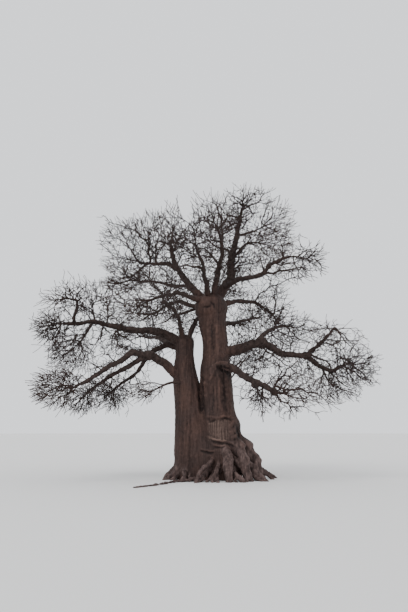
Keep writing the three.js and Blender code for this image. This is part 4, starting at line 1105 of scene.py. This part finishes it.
def tubes(runs, sides):
    """Closed tubes: rings round the points of each run, with flat ends. Places and faces."""
    places, faces, made = [], [], 0
    turn = 2 * np.pi * np.arange(sides) / sides
    for line, radii in runs:
        steps = np.diff(line, axis=0)
        along = np.vstack([steps[:1], steps[:-1] + steps[1:], steps[-1:]])
        along /= np.maximum(np.linalg.norm(along, axis=1), 1e-9)[:, None]
        whole = line[-1] - line[0]
        hint = MORE_UPRIGHT if abs(whole[2]) < abs(whole[0]) else MORE_LEVEL
        aside = unit(np.cross(whole, hint))
        across = aside - (along @ aside)[:, None] * along
        across /= np.maximum(np.linalg.norm(across, axis=1), 1e-9)[:, None]
        third = np.cross(along, across)
        ring = (across[:, None] * np.cos(turn)[:, None] + third[:, None] * np.sin(turn)[:, None])
        places.append((line[:, None] + ring * radii[:, None, None]).reshape(-1, 3))
        here = made + np.arange(sides)
        there = made + (np.arange(sides) + 1) % sides
        for level in range(len(line) - 1):
            low, high = level * sides, (level + 1) * sides
            faces += np.stack([here + low, there + low, there + high, here + high], 1).tolist()
        faces.append(here[::-1].tolist())
        faces.append((here + (len(line) - 1) * sides).tolist())
        made += sides * len(line)
    return np.vstack(places), faces


def joined(parts):
    """Several places-and-faces pairs as one."""
    places, faces, made = [], [], 0
    for some_places, some_faces in parts:
        places.append(some_places)
        faces += [[corner + made for corner in face] for face in some_faces]
        made += len(some_places)
    return np.vstack(places), faces


def new_mesh(name, places, faces):
    mesh = bpy.data.meshes.new(name)
    mesh.from_pydata(places, [], faces)
    return mesh


def in_scene(name, mesh):
    """A new object in the scene."""
    made = bpy.data.objects.new(name, mesh)
    bpy.context.scene.collection.objects.link(made)
    return made


def add_piece(name, mesh, material, slot, *replaced):
    """A smooth mesh that rides on the tree, in place of those solids."""
    mesh.polygons.foreach_set("use_smooth", np.ones(len(mesh.polygons), bool))
    mesh.materials.append(material)
    piece = in_scene(name, mesh)
    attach(piece, BODY)
    if replaced:
        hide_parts(*replaced)


def twig_runs(growth, radii):
    """Each twig's line and radii. A side twig starts no thicker than its own next joint."""
    for index, run in enumerate(growth.runs):
        widths = radii[run].copy()
        if index:
            widths[0] = widths[1]
        yield growth.at[run], widths


def twig_mesh(name, growth, radii):
    """A whole spray: round stems, and fine twigs with fewer sides."""
    runs = list(twig_runs(growth, radii))
    thick = [run for run in runs if run[1][0] >= ROUND_GIRTH]
    thin = [run for run in runs if run[1][0] < ROUND_GIRTH]
    parts = [tubes(group, sides) for group, sides in ((thick, ROUND_SIDES), (thin, FINE_SIDES)) if group]
    return new_mesh(name, *joined(parts))


# The bark's own shape

def around(places, limb):
    """How far places are from one limb's bark, and the way out from its middle line."""
    line, radii = limb
    gap = np.full(len(places), FAR_AWAY)
    out = np.zeros_like(places)
    margin = radii.max() + NEARBY
    near = ((places > line.min(0) - margin) & (places < line.max(0) + margin)).all(1).nonzero()[0]
    for start, end, low, high in zip(line, line[1:], radii, radii[1:]):
        span = end - start
        off = places[near] - start
        share = np.clip(off @ span / (span @ span), 0, 1)
        away = off - share[:, None] * span
        far = np.linalg.norm(away, axis=1)
        depth = far - (low + (high - low) * share)
        closer = depth < gap[near]
        found = near[closer]
        gap[found] = depth[closer]
        out[found] = away[closer] / np.maximum(far[closer], 1e-6)[:, None]
    return gap, out


def fused(one, other, fillet):
    """Two such measures as one skin, with a fillet that reaches that far."""
    share = np.clip(0.5 + 0.5 * (other[0] - one[0]) / fillet, 0, 1)
    gap = other[0] * (1 - share) + one[0] * share - fillet * share * (1 - share)
    return gap, other[1] * (1 - share)[:, None] + one[1] * share[:, None]


def fused_limbs(places, limbs, skin=None, fillet=None):
    """Limbs added to a skin one by one, each with that fillet, or with one to suit its girth."""
    for limb in limbs:
        measured = around(places, limb)
        reach = fillet or max(BOUGH_FILLET * limb[1][0], LEAST_FILLET)
        skin = measured if skin is None else fused(skin, measured, reach)
    return skin


def neighbours_mean(places, edges):
    """The mean of each place's neighbours."""
    total = np.zeros_like(places)
    ends, others = np.concatenate([edges[:, 0], edges[:, 1]]), np.concatenate([edges[:, 1], edges[:, 0]])
    count = np.bincount(ends, minlength=len(places))
    for axis in range(places.shape[1]):
        total[:, axis] = np.bincount(ends, places[others, axis], len(places))
    return total / np.maximum(count, 1)[:, None]


def settled(places, edges, skin_at):
    """Places evened out and moved onto the skin."""
    for step in range(SETTLING_ROUNDS):
        if step < SETTLING_ROUNDS - 1:
            places = places * 0.5 + neighbours_mean(places, edges) * 0.5
        gap, out = skin_at(places)
        out = out / np.maximum(np.linalg.norm(out, axis=1), 1e-6)[:, None]
        places = places - np.clip(gap, -LONGEST_MOVE, LONGEST_MOVE)[:, None] * out
    return places


def lumps(places, kind):
    """Soft noise at each place, from about minus the kind's height to its height."""
    high, size, octaves, shift = kind
    scaled = places / np.array(size) + shift
    return high * np.array([noise.fractal(Vector(place), 1.0, 2.0, octaves) for place in scaled])


def ease(value, low, high):
    """0 up to low, 1 from high on, and smooth in between."""
    share = np.clip((value - low) / (high - low), 0, 1)
    return share * share * (3 - 2 * share)


def mark_relief(places, facing):
    """The height of the marks on the front of the bark, along lines that waver and fade at both ends."""
    height = np.zeros(len(places))
    waver = lumps(places, MARK_WAVER)
    flat = places[:, [0, 2]] + np.column_stack([-waver, waver])
    strength = MARK_STRENGTH + lumps(places, MARK_UNEVEN)
    for through, wide, high in MARKS:
        points = np.array(through if len(through) > 1 else through * 2)
        far = np.full(len(places), FAR_AWAY)
        along = np.zeros(len(places))
        for number, (start, end) in enumerate(zip(points, points[1:])):
            span = end - start
            share = np.clip((flat - start) @ span / max(span @ span, 1e-9), 0, 1)
            gap = np.linalg.norm(flat - start - share[:, None] * span, axis=1)
            along = np.where(gap < far, number + share, along)
            far = np.minimum(far, gap)
        spans = len(points) - 1
        fade = 1.0
        if len(through) > 1:
            fade = np.sqrt(np.sin(np.pi * (MARK_END + (1 - 2 * MARK_END) * along / spans)))
        height += high * fade * np.exp(-(far / wide)**2)
    return height * strength * facing


def between(value, start, full, ending, end):
    """1 in the middle of that stretch, and 0 outside it."""
    return ease(value, start, full) * (1 - ease(value, ending, end))


def bare_patch(places, facing):
    """1 inside the bare patch and 0 outside it, with a ragged edge."""
    ragged = lumps(places, PATCH_EDGE)
    across = between(places[:, 0] + ragged, *BARE_ACROSS)
    upright = between(places[:, 2] + ragged, *BARE_UPRIGHT)
    return across * upright * facing


def bark_relief(places, normals, bough, root):
    """How far the bark stands out or in, given how far each place is on a bough or on a root."""
    facing = ease(-normals[:, 1], *FACING) * ease(-places[:, 1], *FRONT_PLACE)
    bare = bare_patch(places, facing)
    folds = (lumps(places, FOLDS) + lumps(places, FINE_FOLDS)) * (1 - SMOOTHER_BARE * bare)
    folds *= 1 - SMOOTHER_ROOT * root
    flank = ease(normals[:, 0], *FLANK_FACING) * ease(places[:, 0], *FLANK_PLACE)
    swells = sum(out * np.exp(-((places[:, 2] - middle) / spread)**2) for middle, spread, out in FLANK)
    return ((1 - bough) * (folds + mark_relief(places, facing)) + bough * lumps(places, BOUGH_BUMPS)
            + root * lumps(places, ROOT_GNARLS) + bare * (lumps(places, FLUTES) - BARE_DEEP)
            + flank * swells + lumps(places, KNOBS))


def fused_mesh(name, limbs, voxel):
    """A closed mesh round all the limbs, from a voxel grid of that size."""
    mesh = new_mesh(name, *tubes(limbs, LIMB_SIDES))
    rough = in_scene(name, mesh)
    fuse = rough.modifiers.new("Fuse", "REMESH")
    fuse.mode = "VOXEL"
    fuse.voxel_size = voxel
    whole = bpy.data.meshes.new_from_object(rough.evaluated_get(bpy.context.evaluated_depsgraph_get()))
    bpy.data.objects.remove(rough)
    bpy.data.meshes.remove(mesh)
    return whole


def read(items, key, width, kind=np.float32):
    """A value of each vertex or edge of a mesh, as rows."""
    flat = np.zeros(width * len(items), kind)
    items.foreach_get(key, flat)
    return flat.reshape(-1, width)


def places_of(mesh):
    return read(mesh.vertices, "co", 3).astype(float)


def normals_of(mesh):
    return read(mesh.vertex_normals, "vector", 3).astype(float)


def set_places(mesh, places):
    mesh.vertices.foreach_set("co", places.astype(np.float32).ravel())
    mesh.update()


def cut_at_ground(mesh):
    """Takes off what lies below the ground and closes the cut."""
    cut = bmesh.new()
    cut.from_mesh(mesh)
    everything = cut.verts[:] + cut.edges[:] + cut.faces[:]
    found = bmesh.ops.bisect_plane(cut, geom=everything, plane_co=(0, 0, 0), plane_no=(0, 0, 1),
                                   clear_inner=True)
    edges = [item for item in found["geom_cut"] if isinstance(item, bmesh.types.BMEdge)]
    bmesh.ops.triangle_fill(cut, edges=edges, use_beauty=True, normal=(0, 0, -1))
    cut.to_mesh(mesh)
    cut.free()
    places = places_of(mesh)
    places[:, 2] = np.maximum(places[:, 2], 0)
    set_places(mesh, places)


def set_mask(mesh, name, values):
    """A number from 0 to 1 at each vertex, for the bark's colours."""
    mask = mesh.attributes.new(name, "FLOAT", "POINT")
    mask.data.foreach_set("value", np.clip(values, 0, 1).astype(np.float32))


class Tree:
    """The limbs of the whole tree, as middle lines and radii."""

    def __init__(self):
        self.stems = [stem_line(rows, FINE_RINGS) for rows in (LEFT_STEM, RIGHT_STEM)]
        rib = np.column_stack([SEAM, SEAM_THICK])
        rib = smooth(rib, len(SEAM) * FINE_RINGS)
        self.stems.append((rib[:, :3], rib[:, 3] / 2))
        self.roots = [root_line(row, FINE_RINGS, ROOT_SEED + number)
                      for number, row in enumerate([*ROOTS, *THIN_ROOTS])]
        self.roots.append((smooth(np.array(GROUND_ROOT), GROUND_ROOT_RINGS),
                           np.linspace(*GROUND_ROOT_THICK, GROUND_ROOT_RINGS + 1) / 2))
        self.boughs = {row[0]: limb_line(number, FINE_RINGS, BARK_COLLAR)
                       for number, row in enumerate(BOUGHS)}
        coarse = {row[0]: limb_line(number, 1) for number, row in enumerate(BOUGHS)}
        self.knots = [(np.array([place, place]) + [[0], [0.01]], np.full(2, radius))
                      for place, radius in KNOTS]
        self.limbs = {
            "left_stem": stem_segments(LEFT_STEM, FORK_HEIGHT, ABOVE_ALL),
            "right_stem": stem_segments(RIGHT_STEM, FORK_HEIGHT, ABOVE_ALL),
            "trunk": stem_segments(RIGHT_STEM, 0, FORK_HEIGHT),
            "trunk_left_half": stem_segments(LEFT_STEM, 0, FORK_HEIGHT),
            **coarse,
        }
        self.in_the_way = Segments()
        for line, radii in self.limbs.values():
            self.in_the_way.add(line, radii)

    def stubs(self):
        """The first stretch of each bough that leaves a stem, a little proud of the bough's own bark
        and drawn in at its end, so that the trunk's bark runs out along the bough."""
        made = []
        for line, radii in self.boughs.values():
            if self.stems_skin(line[:1])[0][0] > 0:
                continue
            way = np.append(0, np.cumsum(np.linalg.norm(np.diff(line, axis=0), axis=1)))
            length = STUB_LENGTH + STUB_GIRTHS * radii[1]
            keep = way < length
            proud = STUB_PROUD - STUB_NARROWING * ease(way[keep], length * STUB_NARROWS_AT, length)
            made.append((line[keep], radii[keep] * proud))
        return made

    def stems_skin(self, places):
        left, right, rib = (around(places, stem) for stem in self.stems)
        return fused(fused(left, right, STEM_FILLET), rib, RIB_FILLET)

    def trunk_skin(self, places):
        roots = fused_limbs(places, self.roots, fillet=ROOT_FILLET)
        return fused_limbs(places, self.stubs(), fused(self.stems_skin(places), roots, FOOT_FILLET))

    def boughs_skin(self, places):
        return fused_limbs(places, [*self.boughs.values(), *self.knots])

    def root_share(self, places):
        gap = np.min([around(places, root)[0] for root in self.roots], axis=0)
        share = 1 - ease(gap - self.stems_skin(places)[0], *ROOT_EDGE)
        return share * (1 - ease(places[:, 2], *ROOT_TOP))

    def bough_share(self, places):
        return ease(self.stems_skin(places)[0], *BOUGH_EDGE) * ease(places[:, 2], *BOUGH_FOOT)


def bark_mesh(name, limbs, skin_at, tree, voxel, amount, grounded):
    """A closed mesh of bark: the limbs fused on a grid, settled on their skin, then given relief."""
    mesh = fused_mesh(name, limbs, voxel)
    edges = read(mesh.edges, "vertices", 2, np.int32)
    places = settled(places_of(mesh), edges, skin_at)
    set_places(mesh, places)
    normals = normals_of(mesh)
    relief = amount * bark_relief(places, normals, tree.bough_share(places), tree.root_share(places))
    set_places(mesh, places + normals * relief[:, None])
    # Painted shade: the bark's colour is darkened where the relief lies deep or is sharply cut in, and
    # lightened as a painted highlight where it stands out
    groove_and_shade = relief - neighbours_mean(neighbours_mean(relief[:, None], edges), edges)[:, 0]
    set_mask(mesh, "groove_and_shade", 0.5 - relief / DEPTH_SHADE - groove_and_shade / GROOVE_SHADE)
    if grounded:
        cut_at_ground(mesh)
    places = places_of(mesh)
    set_mask(mesh, "bough", tree.bough_share(places))
    set_mask(mesh, "root", tree.root_share(places))
    set_mask(mesh, "bare", bare_patch(places, ease(-normals_of(mesh)[:, 1], *FACING)))
    return mesh


# Materials

def shader_group(name, inputs, outputs):
    """A new node group with named sockets: the group, a place on the surface, and both kinds of socket."""
    made = bpy.data.node_groups.new(name, "ShaderNodeTree")
    for label, kind, value in inputs:
        made.interface.new_socket(label, in_out="INPUT", socket_type=kind).default_value = value
    for label, kind in outputs:
        made.interface.new_socket(label, in_out="OUTPUT", socket_type=kind)
    given, out = made.nodes.new("NodeGroupInput").outputs, made.nodes.new("NodeGroupOutput").inputs
    return made, add(made, "TexCoord", {}).outputs["Object"], given, out


def add(tree, kind, inputs, **settings):
    """A node with its settings, and its inputs set to a value or linked to a socket."""
    made = tree.nodes.new("ShaderNode" + kind)
    for key, value in settings.items():
        setattr(made, key, value)
    for key, value in inputs.items():
        if isinstance(value, bpy.types.NodeSocket):
            tree.links.new(value, made.inputs[key])
        else:
            made.inputs[key].default_value = value
    return made


def mixed(tree, share, one, other, blend="MIX"):
    """Two colours mixed by a share."""
    return add(tree, "Mix", {0: share, 6: one, 7: other}, data_type="RGBA", blend_type=blend).outputs[2]


def math_node(tree, operation, one, other, third=0.0):
    return add(tree, "Math", {0: one, 1: other, 2: third}, operation=operation).outputs[0]


def bark_grain(name):
    """Bark grain as a height and as a light and dark shade. Streaks says how many fit a metre each way."""
    made, where, given, out = shader_group(
        name,
        [("Streaks", "NodeSocketVector", (30, 30, 3)), ("Roughness", "NodeSocketFloat", 0.6)],
        [("Height", "NodeSocketFloat"), ("Shade", "NodeSocketFloat")])
    stretched = add(made, "VectorMath", {0: where, 1: given["Streaks"]}, operation="MULTIPLY").outputs[0]
    streaks = add(made, "TexNoise", {"Vector": stretched, "Scale": 1.0, "Detail": 5.0,
                                     "Roughness": given["Roughness"], "Distortion": 0.4})
    made.links.new(streaks.outputs["Fac"], out["Height"])
    shade = add(made, "MapRange", {"Value": streaks.outputs["Fac"], "From Min": 0.32, "From Max": 0.68})
    made.links.new(shade.outputs[0], out["Shade"])
    return made


def bark_knobs(name):
    """Small knobs and pores of old bark, as a height."""
    made, where, given, out = shader_group(
        name, [("Scale", "NodeSocketFloat", 20.0)], [("Height", "NodeSocketFloat")])
    cells = add(made, "TexVoronoi", {"Vector": where, "Scale": given["Scale"], "Randomness": 1.0},
                feature="SMOOTH_F1")
    fine = add(made, "TexNoise", {"Vector": where, "Scale": given["Scale"], "Detail": 4.0,
                                  "Roughness": 0.65})
    joined_up = math_node(made, "MULTIPLY_ADD", cells.outputs["Distance"], 0.5, fine.outputs["Fac"])
    made.links.new(joined_up, out["Height"])
    return made


def bark_patches(name):
    """Broad soft patches where the bark is redder or greyer."""
    made, where, given, out = shader_group(
        name,
        [("Colour", "NodeSocketColor", (0.1, 0.07, 0.06, 1)),
         ("Other Colour", "NodeSocketColor", (0.1, 0.07, 0.06, 1)), ("Scale", "NodeSocketFloat", 1.5)],
        [("Colour", "NodeSocketColor")])
    soft = add(made, "TexNoise", {"Vector": where, "Scale": given["Scale"], "Detail": 3.0,
                                  "Roughness": 0.55})
    share = add(made, "MapRange", {"Value": soft.outputs["Fac"], "From Min": 0.38, "From Max": 0.62})
    made.links.new(mixed(made, share.outputs[0], given["Colour"], given["Other Colour"]), out["Colour"])
    return made


GROUPS = {"Bark grain": bark_grain, "Bark knobs": bark_knobs, "Bark patches": bark_patches}


def placed(tree, name, **values):
    """A shared node group in a material, with its inputs by name. Each group is built once."""
    made = tree.nodes.new("ShaderNodeGroup")
    made.node_tree = bpy.data.node_groups.get(name) or GROUPS[name](name)
    for key, value in values.items():
        made.inputs[key.replace("_", " ")].default_value = value
    return made.outputs


def new_material(name):
    made = bpy.data.materials.new(name)
    made.use_nodes = True
    made.node_tree.nodes.clear()
    return made, made.node_tree


def surface(tree, colour, roughness, specular=0.3, **inputs):
    """The material's shader and its output."""
    shader = add(tree, "BsdfPrincipled", {"Base Color": colour, "Roughness": roughness,
                                          "Specular IOR Level": specular, **inputs})
    add(tree, "OutputMaterial", {"Surface": shader.outputs[0]})


def shades_of(colour, factor=1.0):
    """A base colour, lighter or darker, with its alpha."""
    return (*[channel * factor for channel in colour], 1.0)


def bark_material(name, colours, grain, roughness):
    """Bark: a patchy colour for trunk, boughs, roots and bare wood, by the masks, under the grain and
    painted shade.
    """
    made, tree = new_material(name)
    grain_node = placed(tree, "Bark grain", **grain)
    knobs = placed(tree, "Bark knobs", Scale=22.0)
    trunk = placed(tree, "Bark patches", Colour=shades_of(colours.trunk),
                   Other_Colour=shades_of(colours.trunk_red), Scale=1.1)
    roots = placed(tree, "Bark patches", Colour=shades_of(colours.root),
                   Other_Colour=shades_of(colours.root_dark), Scale=4.0)
    masks = {mask: add(tree, "Attribute", {}, attribute_name=mask).outputs["Fac"]
             for mask in ("bough", "root", "bare", "groove_and_shade")}
    colour = mixed(tree, masks["bough"], trunk["Colour"], shades_of(colours.bough))
    colour = mixed(tree, masks["root"], colour, roots["Colour"])
    colour = mixed(tree, masks["bare"], colour, shades_of(colours.bare))
    # The grain's dark and light streaks, then painted shade in grooves and recesses and a painted highlight
    # on ridges, by the mask of relief
    for share, low, high in ((grain_node["Shade"], GRAIN_DARK, GRAIN_LIGHT),
                             (masks["groove_and_shade"], RIDGE_PAINTED_HIGHLIGHT, GROOVE_PAINTED_SHADE)):
        colour = mixed(tree, 1.0, colour, mixed(tree, share, low, high), "MULTIPLY")
    height = math_node(tree, "MULTIPLY_ADD", knobs["Height"], 0.5, grain_node["Height"])
    bump = add(tree, "Bump", {"Strength": 0.7, "Distance": 0.02, "Height": height})
    rough = add(tree, "MapRange", {"Value": grain_node["Shade"], "To Min": roughness + 0.08,
                                   "To Max": roughness - 0.06})
    surface(tree, colour, rough.outputs[0], Normal=bump.outputs[0])
    return made


def twig_material(name, colour):
    """Twig bark: one colour a spray, with faint streaks."""
    made, tree = new_material(name)
    grain = placed(tree, "Bark grain", **TWIG_GRAIN)
    shade = mixed(tree, grain["Shade"], shades_of(colour, 0.8), shades_of(colour, 1.15))
    bump = add(tree, "Bump", {"Strength": 0.4, "Distance": 0.004, "Height": grain["Height"]})
    surface(tree, shade, 0.82, Normal=bump.outputs[0])
    return made


def plain_material(name, colour, roughness):
    made, tree = new_material(name)
    surface(tree, shades_of(colour), roughness, 0.2)
    return made


# Settings, operators and the panel

def colour_setting(name, description, default):
    return FloatVectorProperty(name=name, description=description, subtype="COLOR", default=default)


def length_setting(name, description, default, least):
    return FloatProperty(name=name, description=description, default=default, min=least, unit="LENGTH")


def share_setting(name, description, default, most):
    return FloatProperty(name=name, description=description, default=default, min=0.0, max=most,
                         subtype="FACTOR")


class BaobabColours(bpy.types.PropertyGroup):
    """Base colours of the tree's bark"""

    trunk: colour_setting("Trunk", "Colour of the trunk's bark", (0.048, 0.030, 0.026))
    trunk_red: colour_setting("Trunk, redder", "Colour of its redder patches", (0.070, 0.040, 0.032))
    root: colour_setting("Roots", "Colour of the weathered roots", (0.106, 0.074, 0.068))
    root_dark: colour_setting("Roots, darker", "Colour of the roots' darker patches", (0.058, 0.037, 0.033))
    bare: colour_setting("Bare wood", "Colour of the patch without bark", (0.112, 0.076, 0.063))
    bough: colour_setting("Boughs", "Colour of the boughs' bark", (0.046, 0.031, 0.027))
    twig: colour_setting("Twigs", "Colour of the twigs", (0.034, 0.022, 0.019))


class BaobabSizes(bpy.types.PropertyGroup):
    """Sizes of the bark's relief and of the fine twigs"""

    trunk_grid: length_setting("Trunk grid", "Spacing of the trunk's bark mesh", 0.026, 0.015)
    bough_grid: length_setting("Bough grid", "Spacing of the boughs' bark mesh", 0.03, 0.02)
    relief: share_setting("Relief", "Share of the full depth of the bark's relief", 1.0, 1.5)
    twig_tip: length_setting("Twig tip", "Thickness of the finest twigs", 0.016, 0.005)
    twig_step: length_setting("Twig step", "Spacing of the joints of a fine twig", 0.16, 0.05)
    twig_count: IntProperty(name="Fine twigs", description="Places tried for the fine twigs of a mass "
                            "with a reach of a metre", default=1550, min=0)
    shoots: FloatProperty(name="Side shoots", description="Places tried for side shoots at each joint "
                          "of a bough and its side branches", default=3.7, min=0.0)
    shoot_reach: length_setting("Shoot reach", "How far the longest side shoots reach", 0.62, 0.1)
    spur: length_setting("Spur", "Length of the short spurs on the twigs", 0.13, 0.02)
    spur_share: share_setting("Spur share", "Share of the joints that bear a spur", 0.4, 1.0)


class BAOBAB_OT_stage(bpy.types.Operator):
    """Adds the pale floor, the soft studio light and the camera"""

    bl_idname = "baobab.stage"
    bl_label = "Stage"

    def execute(self, context):
        scene = context.scene
        bpy.ops.mesh.primitive_circle_add(vertices=FLOOR_SIDES, radius=FLOOR_RADIUS, fill_type="NGON")
        floor = context.object
        floor.name = "floor"
        floor.data.materials.append(plain_material("pale floor", FLOOR_COLOUR, 0.9))
        scene.world = bpy.data.worlds.new("pale studio")
        scene.world.use_nodes = True
        sky = scene.world.node_tree.nodes["Background"].inputs
        sky["Color"].default_value = SKY_COLOUR
        sky["Strength"].default_value = SKY_STRENGTH
        for name, place, width, power in LAMPS:
            lamp = bpy.data.lights.new(name, "SUN")
            lamp.angle = math.radians(width)
            lamp.energy = power
            light = in_scene(name, lamp)
            light.location = place
            light.rotation_euler = (-Vector(place)).to_track_quat("-Z", "Y").to_euler()
        lens = bpy.data.cameras.new("camera")
        lens.lens = LENS
        lens.sensor_width = SENSOR
        camera = in_scene("camera", lens)
        camera.location = EYE
        camera.rotation_euler = (math.radians(90 + LOOKS_UP), 0, 0)
        scene.camera = camera
        return {"FINISHED"}


class BAOBAB_OT_trunk(bpy.types.Operator):
    """Covers the trunk, its roots and the stems with bark"""

    bl_idname = "baobab.trunk"
    bl_label = "Bark of the trunk"

    def execute(self, context):
        sizes, colours = context.scene.baobab_sizes, context.scene.baobab_colours
        tree = Tree()
        limbs = [*tree.stems, *tree.roots, *tree.stubs()]
        mesh = bark_mesh("trunk_bark", limbs, tree.trunk_skin, tree, sizes.trunk_grid, sizes.relief, True)
        material = bark_material("trunk bark", colours, TRUNK_GRAIN, 0.84)
        add_piece("trunk_bark", mesh, material, "trunk_bark", "trunk", "left_stem", "right_stem")
        return {"FINISHED"}


class BAOBAB_OT_boughs(bpy.types.Operator):
    """Covers the boughs with bark"""

    bl_idname = "baobab.boughs"
    bl_label = "Bark of the boughs"

    def execute(self, context):
        sizes, colours = context.scene.baobab_sizes, context.scene.baobab_colours
        tree = Tree()
        limbs = [*tree.boughs.values(), *tree.knots]
        mesh = bark_mesh("bough_bark", limbs, tree.boughs_skin, tree, sizes.bough_grid, sizes.relief, False)
        material = bark_material("bough bark", colours, BOUGH_GRAIN, 0.86)
        add_piece("bough_bark", mesh, material, "bough_bark", *[row[0] for row in BOUGHS])
        return {"FINISHED"}


class BAOBAB_OT_twigs(bpy.types.Operator):
    """Grows a spray of bare twigs for each mass"""

    bl_idname = "baobab.twigs"
    bl_label = "Masses of twigs"

    def execute(self, context):
        sizes, colours = context.scene.baobab_sizes, context.scene.baobab_colours
        tree = Tree()
        tints = []
        for number, tint in enumerate(TWIG_TINTS):
            colour = [channel * share for channel, share in zip(colours.twig, tint)]
            tints.append(twig_material(f"twig bark {number + 1}", colour))
        other_twigs = Segments()
        for index, (name, *_) in enumerate(MASSES):
            growth, thick, random = main_twigs(index, tree.limbs, tree.in_the_way, other_twigs)
            own = Segments()
            for line, widths in twig_runs(growth, growth.radii(thick, TWIG_TIP)):
                own.add(line, widths)
            other_twigs.take(own.starts, own.ends, own.radii)
            growth = growth.refined(JOINT_PARTS)
            branches = add_branches(name, growth, random)
            tries = int(sizes.twig_count * FULLNESS.get(name, 1) * REACHES[index].prod()**CROWDING)
            ends = even_ends(index, tries, random)
            add_fine_twigs(growth, ends, random, sizes.twig_step, INWARD_WEIGHT, tree.in_the_way)
            radii = growth.radii(min(thick, STEM_GIRTH), sizes.twig_tip, SPRAY_TAPER)
            for run, widths in branches:
                radii[run] = np.maximum(radii[run], widths)
            radii = add_spurs(growth, radii, sizes.spur_share, sizes.spur, random)
            mesh = twig_mesh(name + "_fine", growth, radii)
            add_piece(name + "_fine", mesh, tints[index % len(tints)], "twig_bark", name)
        return {"FINISHED"}


class BAOBAB_OT_shoots(bpy.types.Operator):
    """Grows the side shoots along the boughs"""

    bl_idname = "baobab.shoots"
    bl_label = "Side shoots of the boughs"

    def execute(self, context):
        sizes, colours = context.scene.baobab_sizes, context.scene.baobab_colours
        tree = Tree()
        material = twig_material("shoot bark", colours.twig)
        sprays = {}
        for index, (name, *_) in enumerate(BOUGHS):
            line = tree.boughs[name][0]
            random = seeded(SHOOT_SEED + index)
            growth = Growth(line[0], unit(line[1] - line[0]))
            growth.extend(0, line[1:])
            growth.runs = []
            growth.way[:] = BOUGH_WAY
            first = max(int(SHOOT_FIRST * len(line)), FIRST_SHOOT_RING)
            branches = add_branches(name, growth, random)
            branches += add_even_branches(growth, first, len(line), random)
            count = int((len(growth.parent) - first) * sizes.shoots * FULLNESS.get(name, 1))
            add_fine_twigs(growth, shoot_ends(growth, first, count, sizes.shoot_reach, random),
                           random, sizes.twig_step)
            widths = np.minimum(sizes.twig_tip / 2 * growth.carried()**SHOOT_POWER, SHOOT_GIRTH / 2)
            for run, thickness in branches:
                widths[run] = np.maximum(widths[run], thickness)
            widths = add_spurs(growth, widths, sizes.spur_share, sizes.spur, random)
            runs = [(growth.at[run], np.append(widths[run[1]], widths[run[1:]])) for run in growth.runs]
            across = line[-1][0]
            side = "left" if across < -SIDE_START else "right" if across > SIDE_START else "middle"
            sprays.setdefault(side, []).append(tubes(runs, FINE_SIDES))
        for side, parts in sprays.items():
            name = f"{side}_side_shoots"
            add_piece(name, new_mesh(name, *joined(parts)), material, "twig_bark")
        return {"FINISHED"}


class BAOBAB_PT_tree(bpy.types.Panel):
    """The tree's settings and pieces"""

    bl_label = "Bare baobab tree"
    bl_space_type = "VIEW_3D"
    bl_region_type = "UI"
    bl_category = "Baobab"

    def draw(self, context):
        for settings in (context.scene.baobab_sizes, context.scene.baobab_colours):
            box = self.layout.box()
            for key in settings.bl_rna.properties.keys():
                if key not in ("rna_type", "name"):
                    box.prop(settings, key)
        for operator in OPERATORS:
            self.layout.operator(operator.bl_idname)


OPERATORS = (BAOBAB_OT_stage, BAOBAB_OT_trunk, BAOBAB_OT_boughs, BAOBAB_OT_twigs, BAOBAB_OT_shoots)
CLASSES = (BaobabColours, BaobabSizes, *OPERATORS, BAOBAB_PT_tree)


def register():
    for one in CLASSES:
        bpy.utils.register_class(one)
    bpy.types.Scene.baobab_colours = PointerProperty(type=BaobabColours)
    bpy.types.Scene.baobab_sizes = PointerProperty(type=BaobabSizes)


def unregister():
    del bpy.types.Scene.baobab_sizes
    del bpy.types.Scene.baobab_colours
    for one in reversed(CLASSES):
        bpy.utils.unregister_class(one)


def main():
    register()
    bpy.ops.baobab.stage()
    bpy.ops.baobab.trunk()
    bpy.ops.baobab.boughs()
    bpy.ops.baobab.twigs()
    bpy.ops.baobab.shoots()


if __name__ == "__main__":
    main()
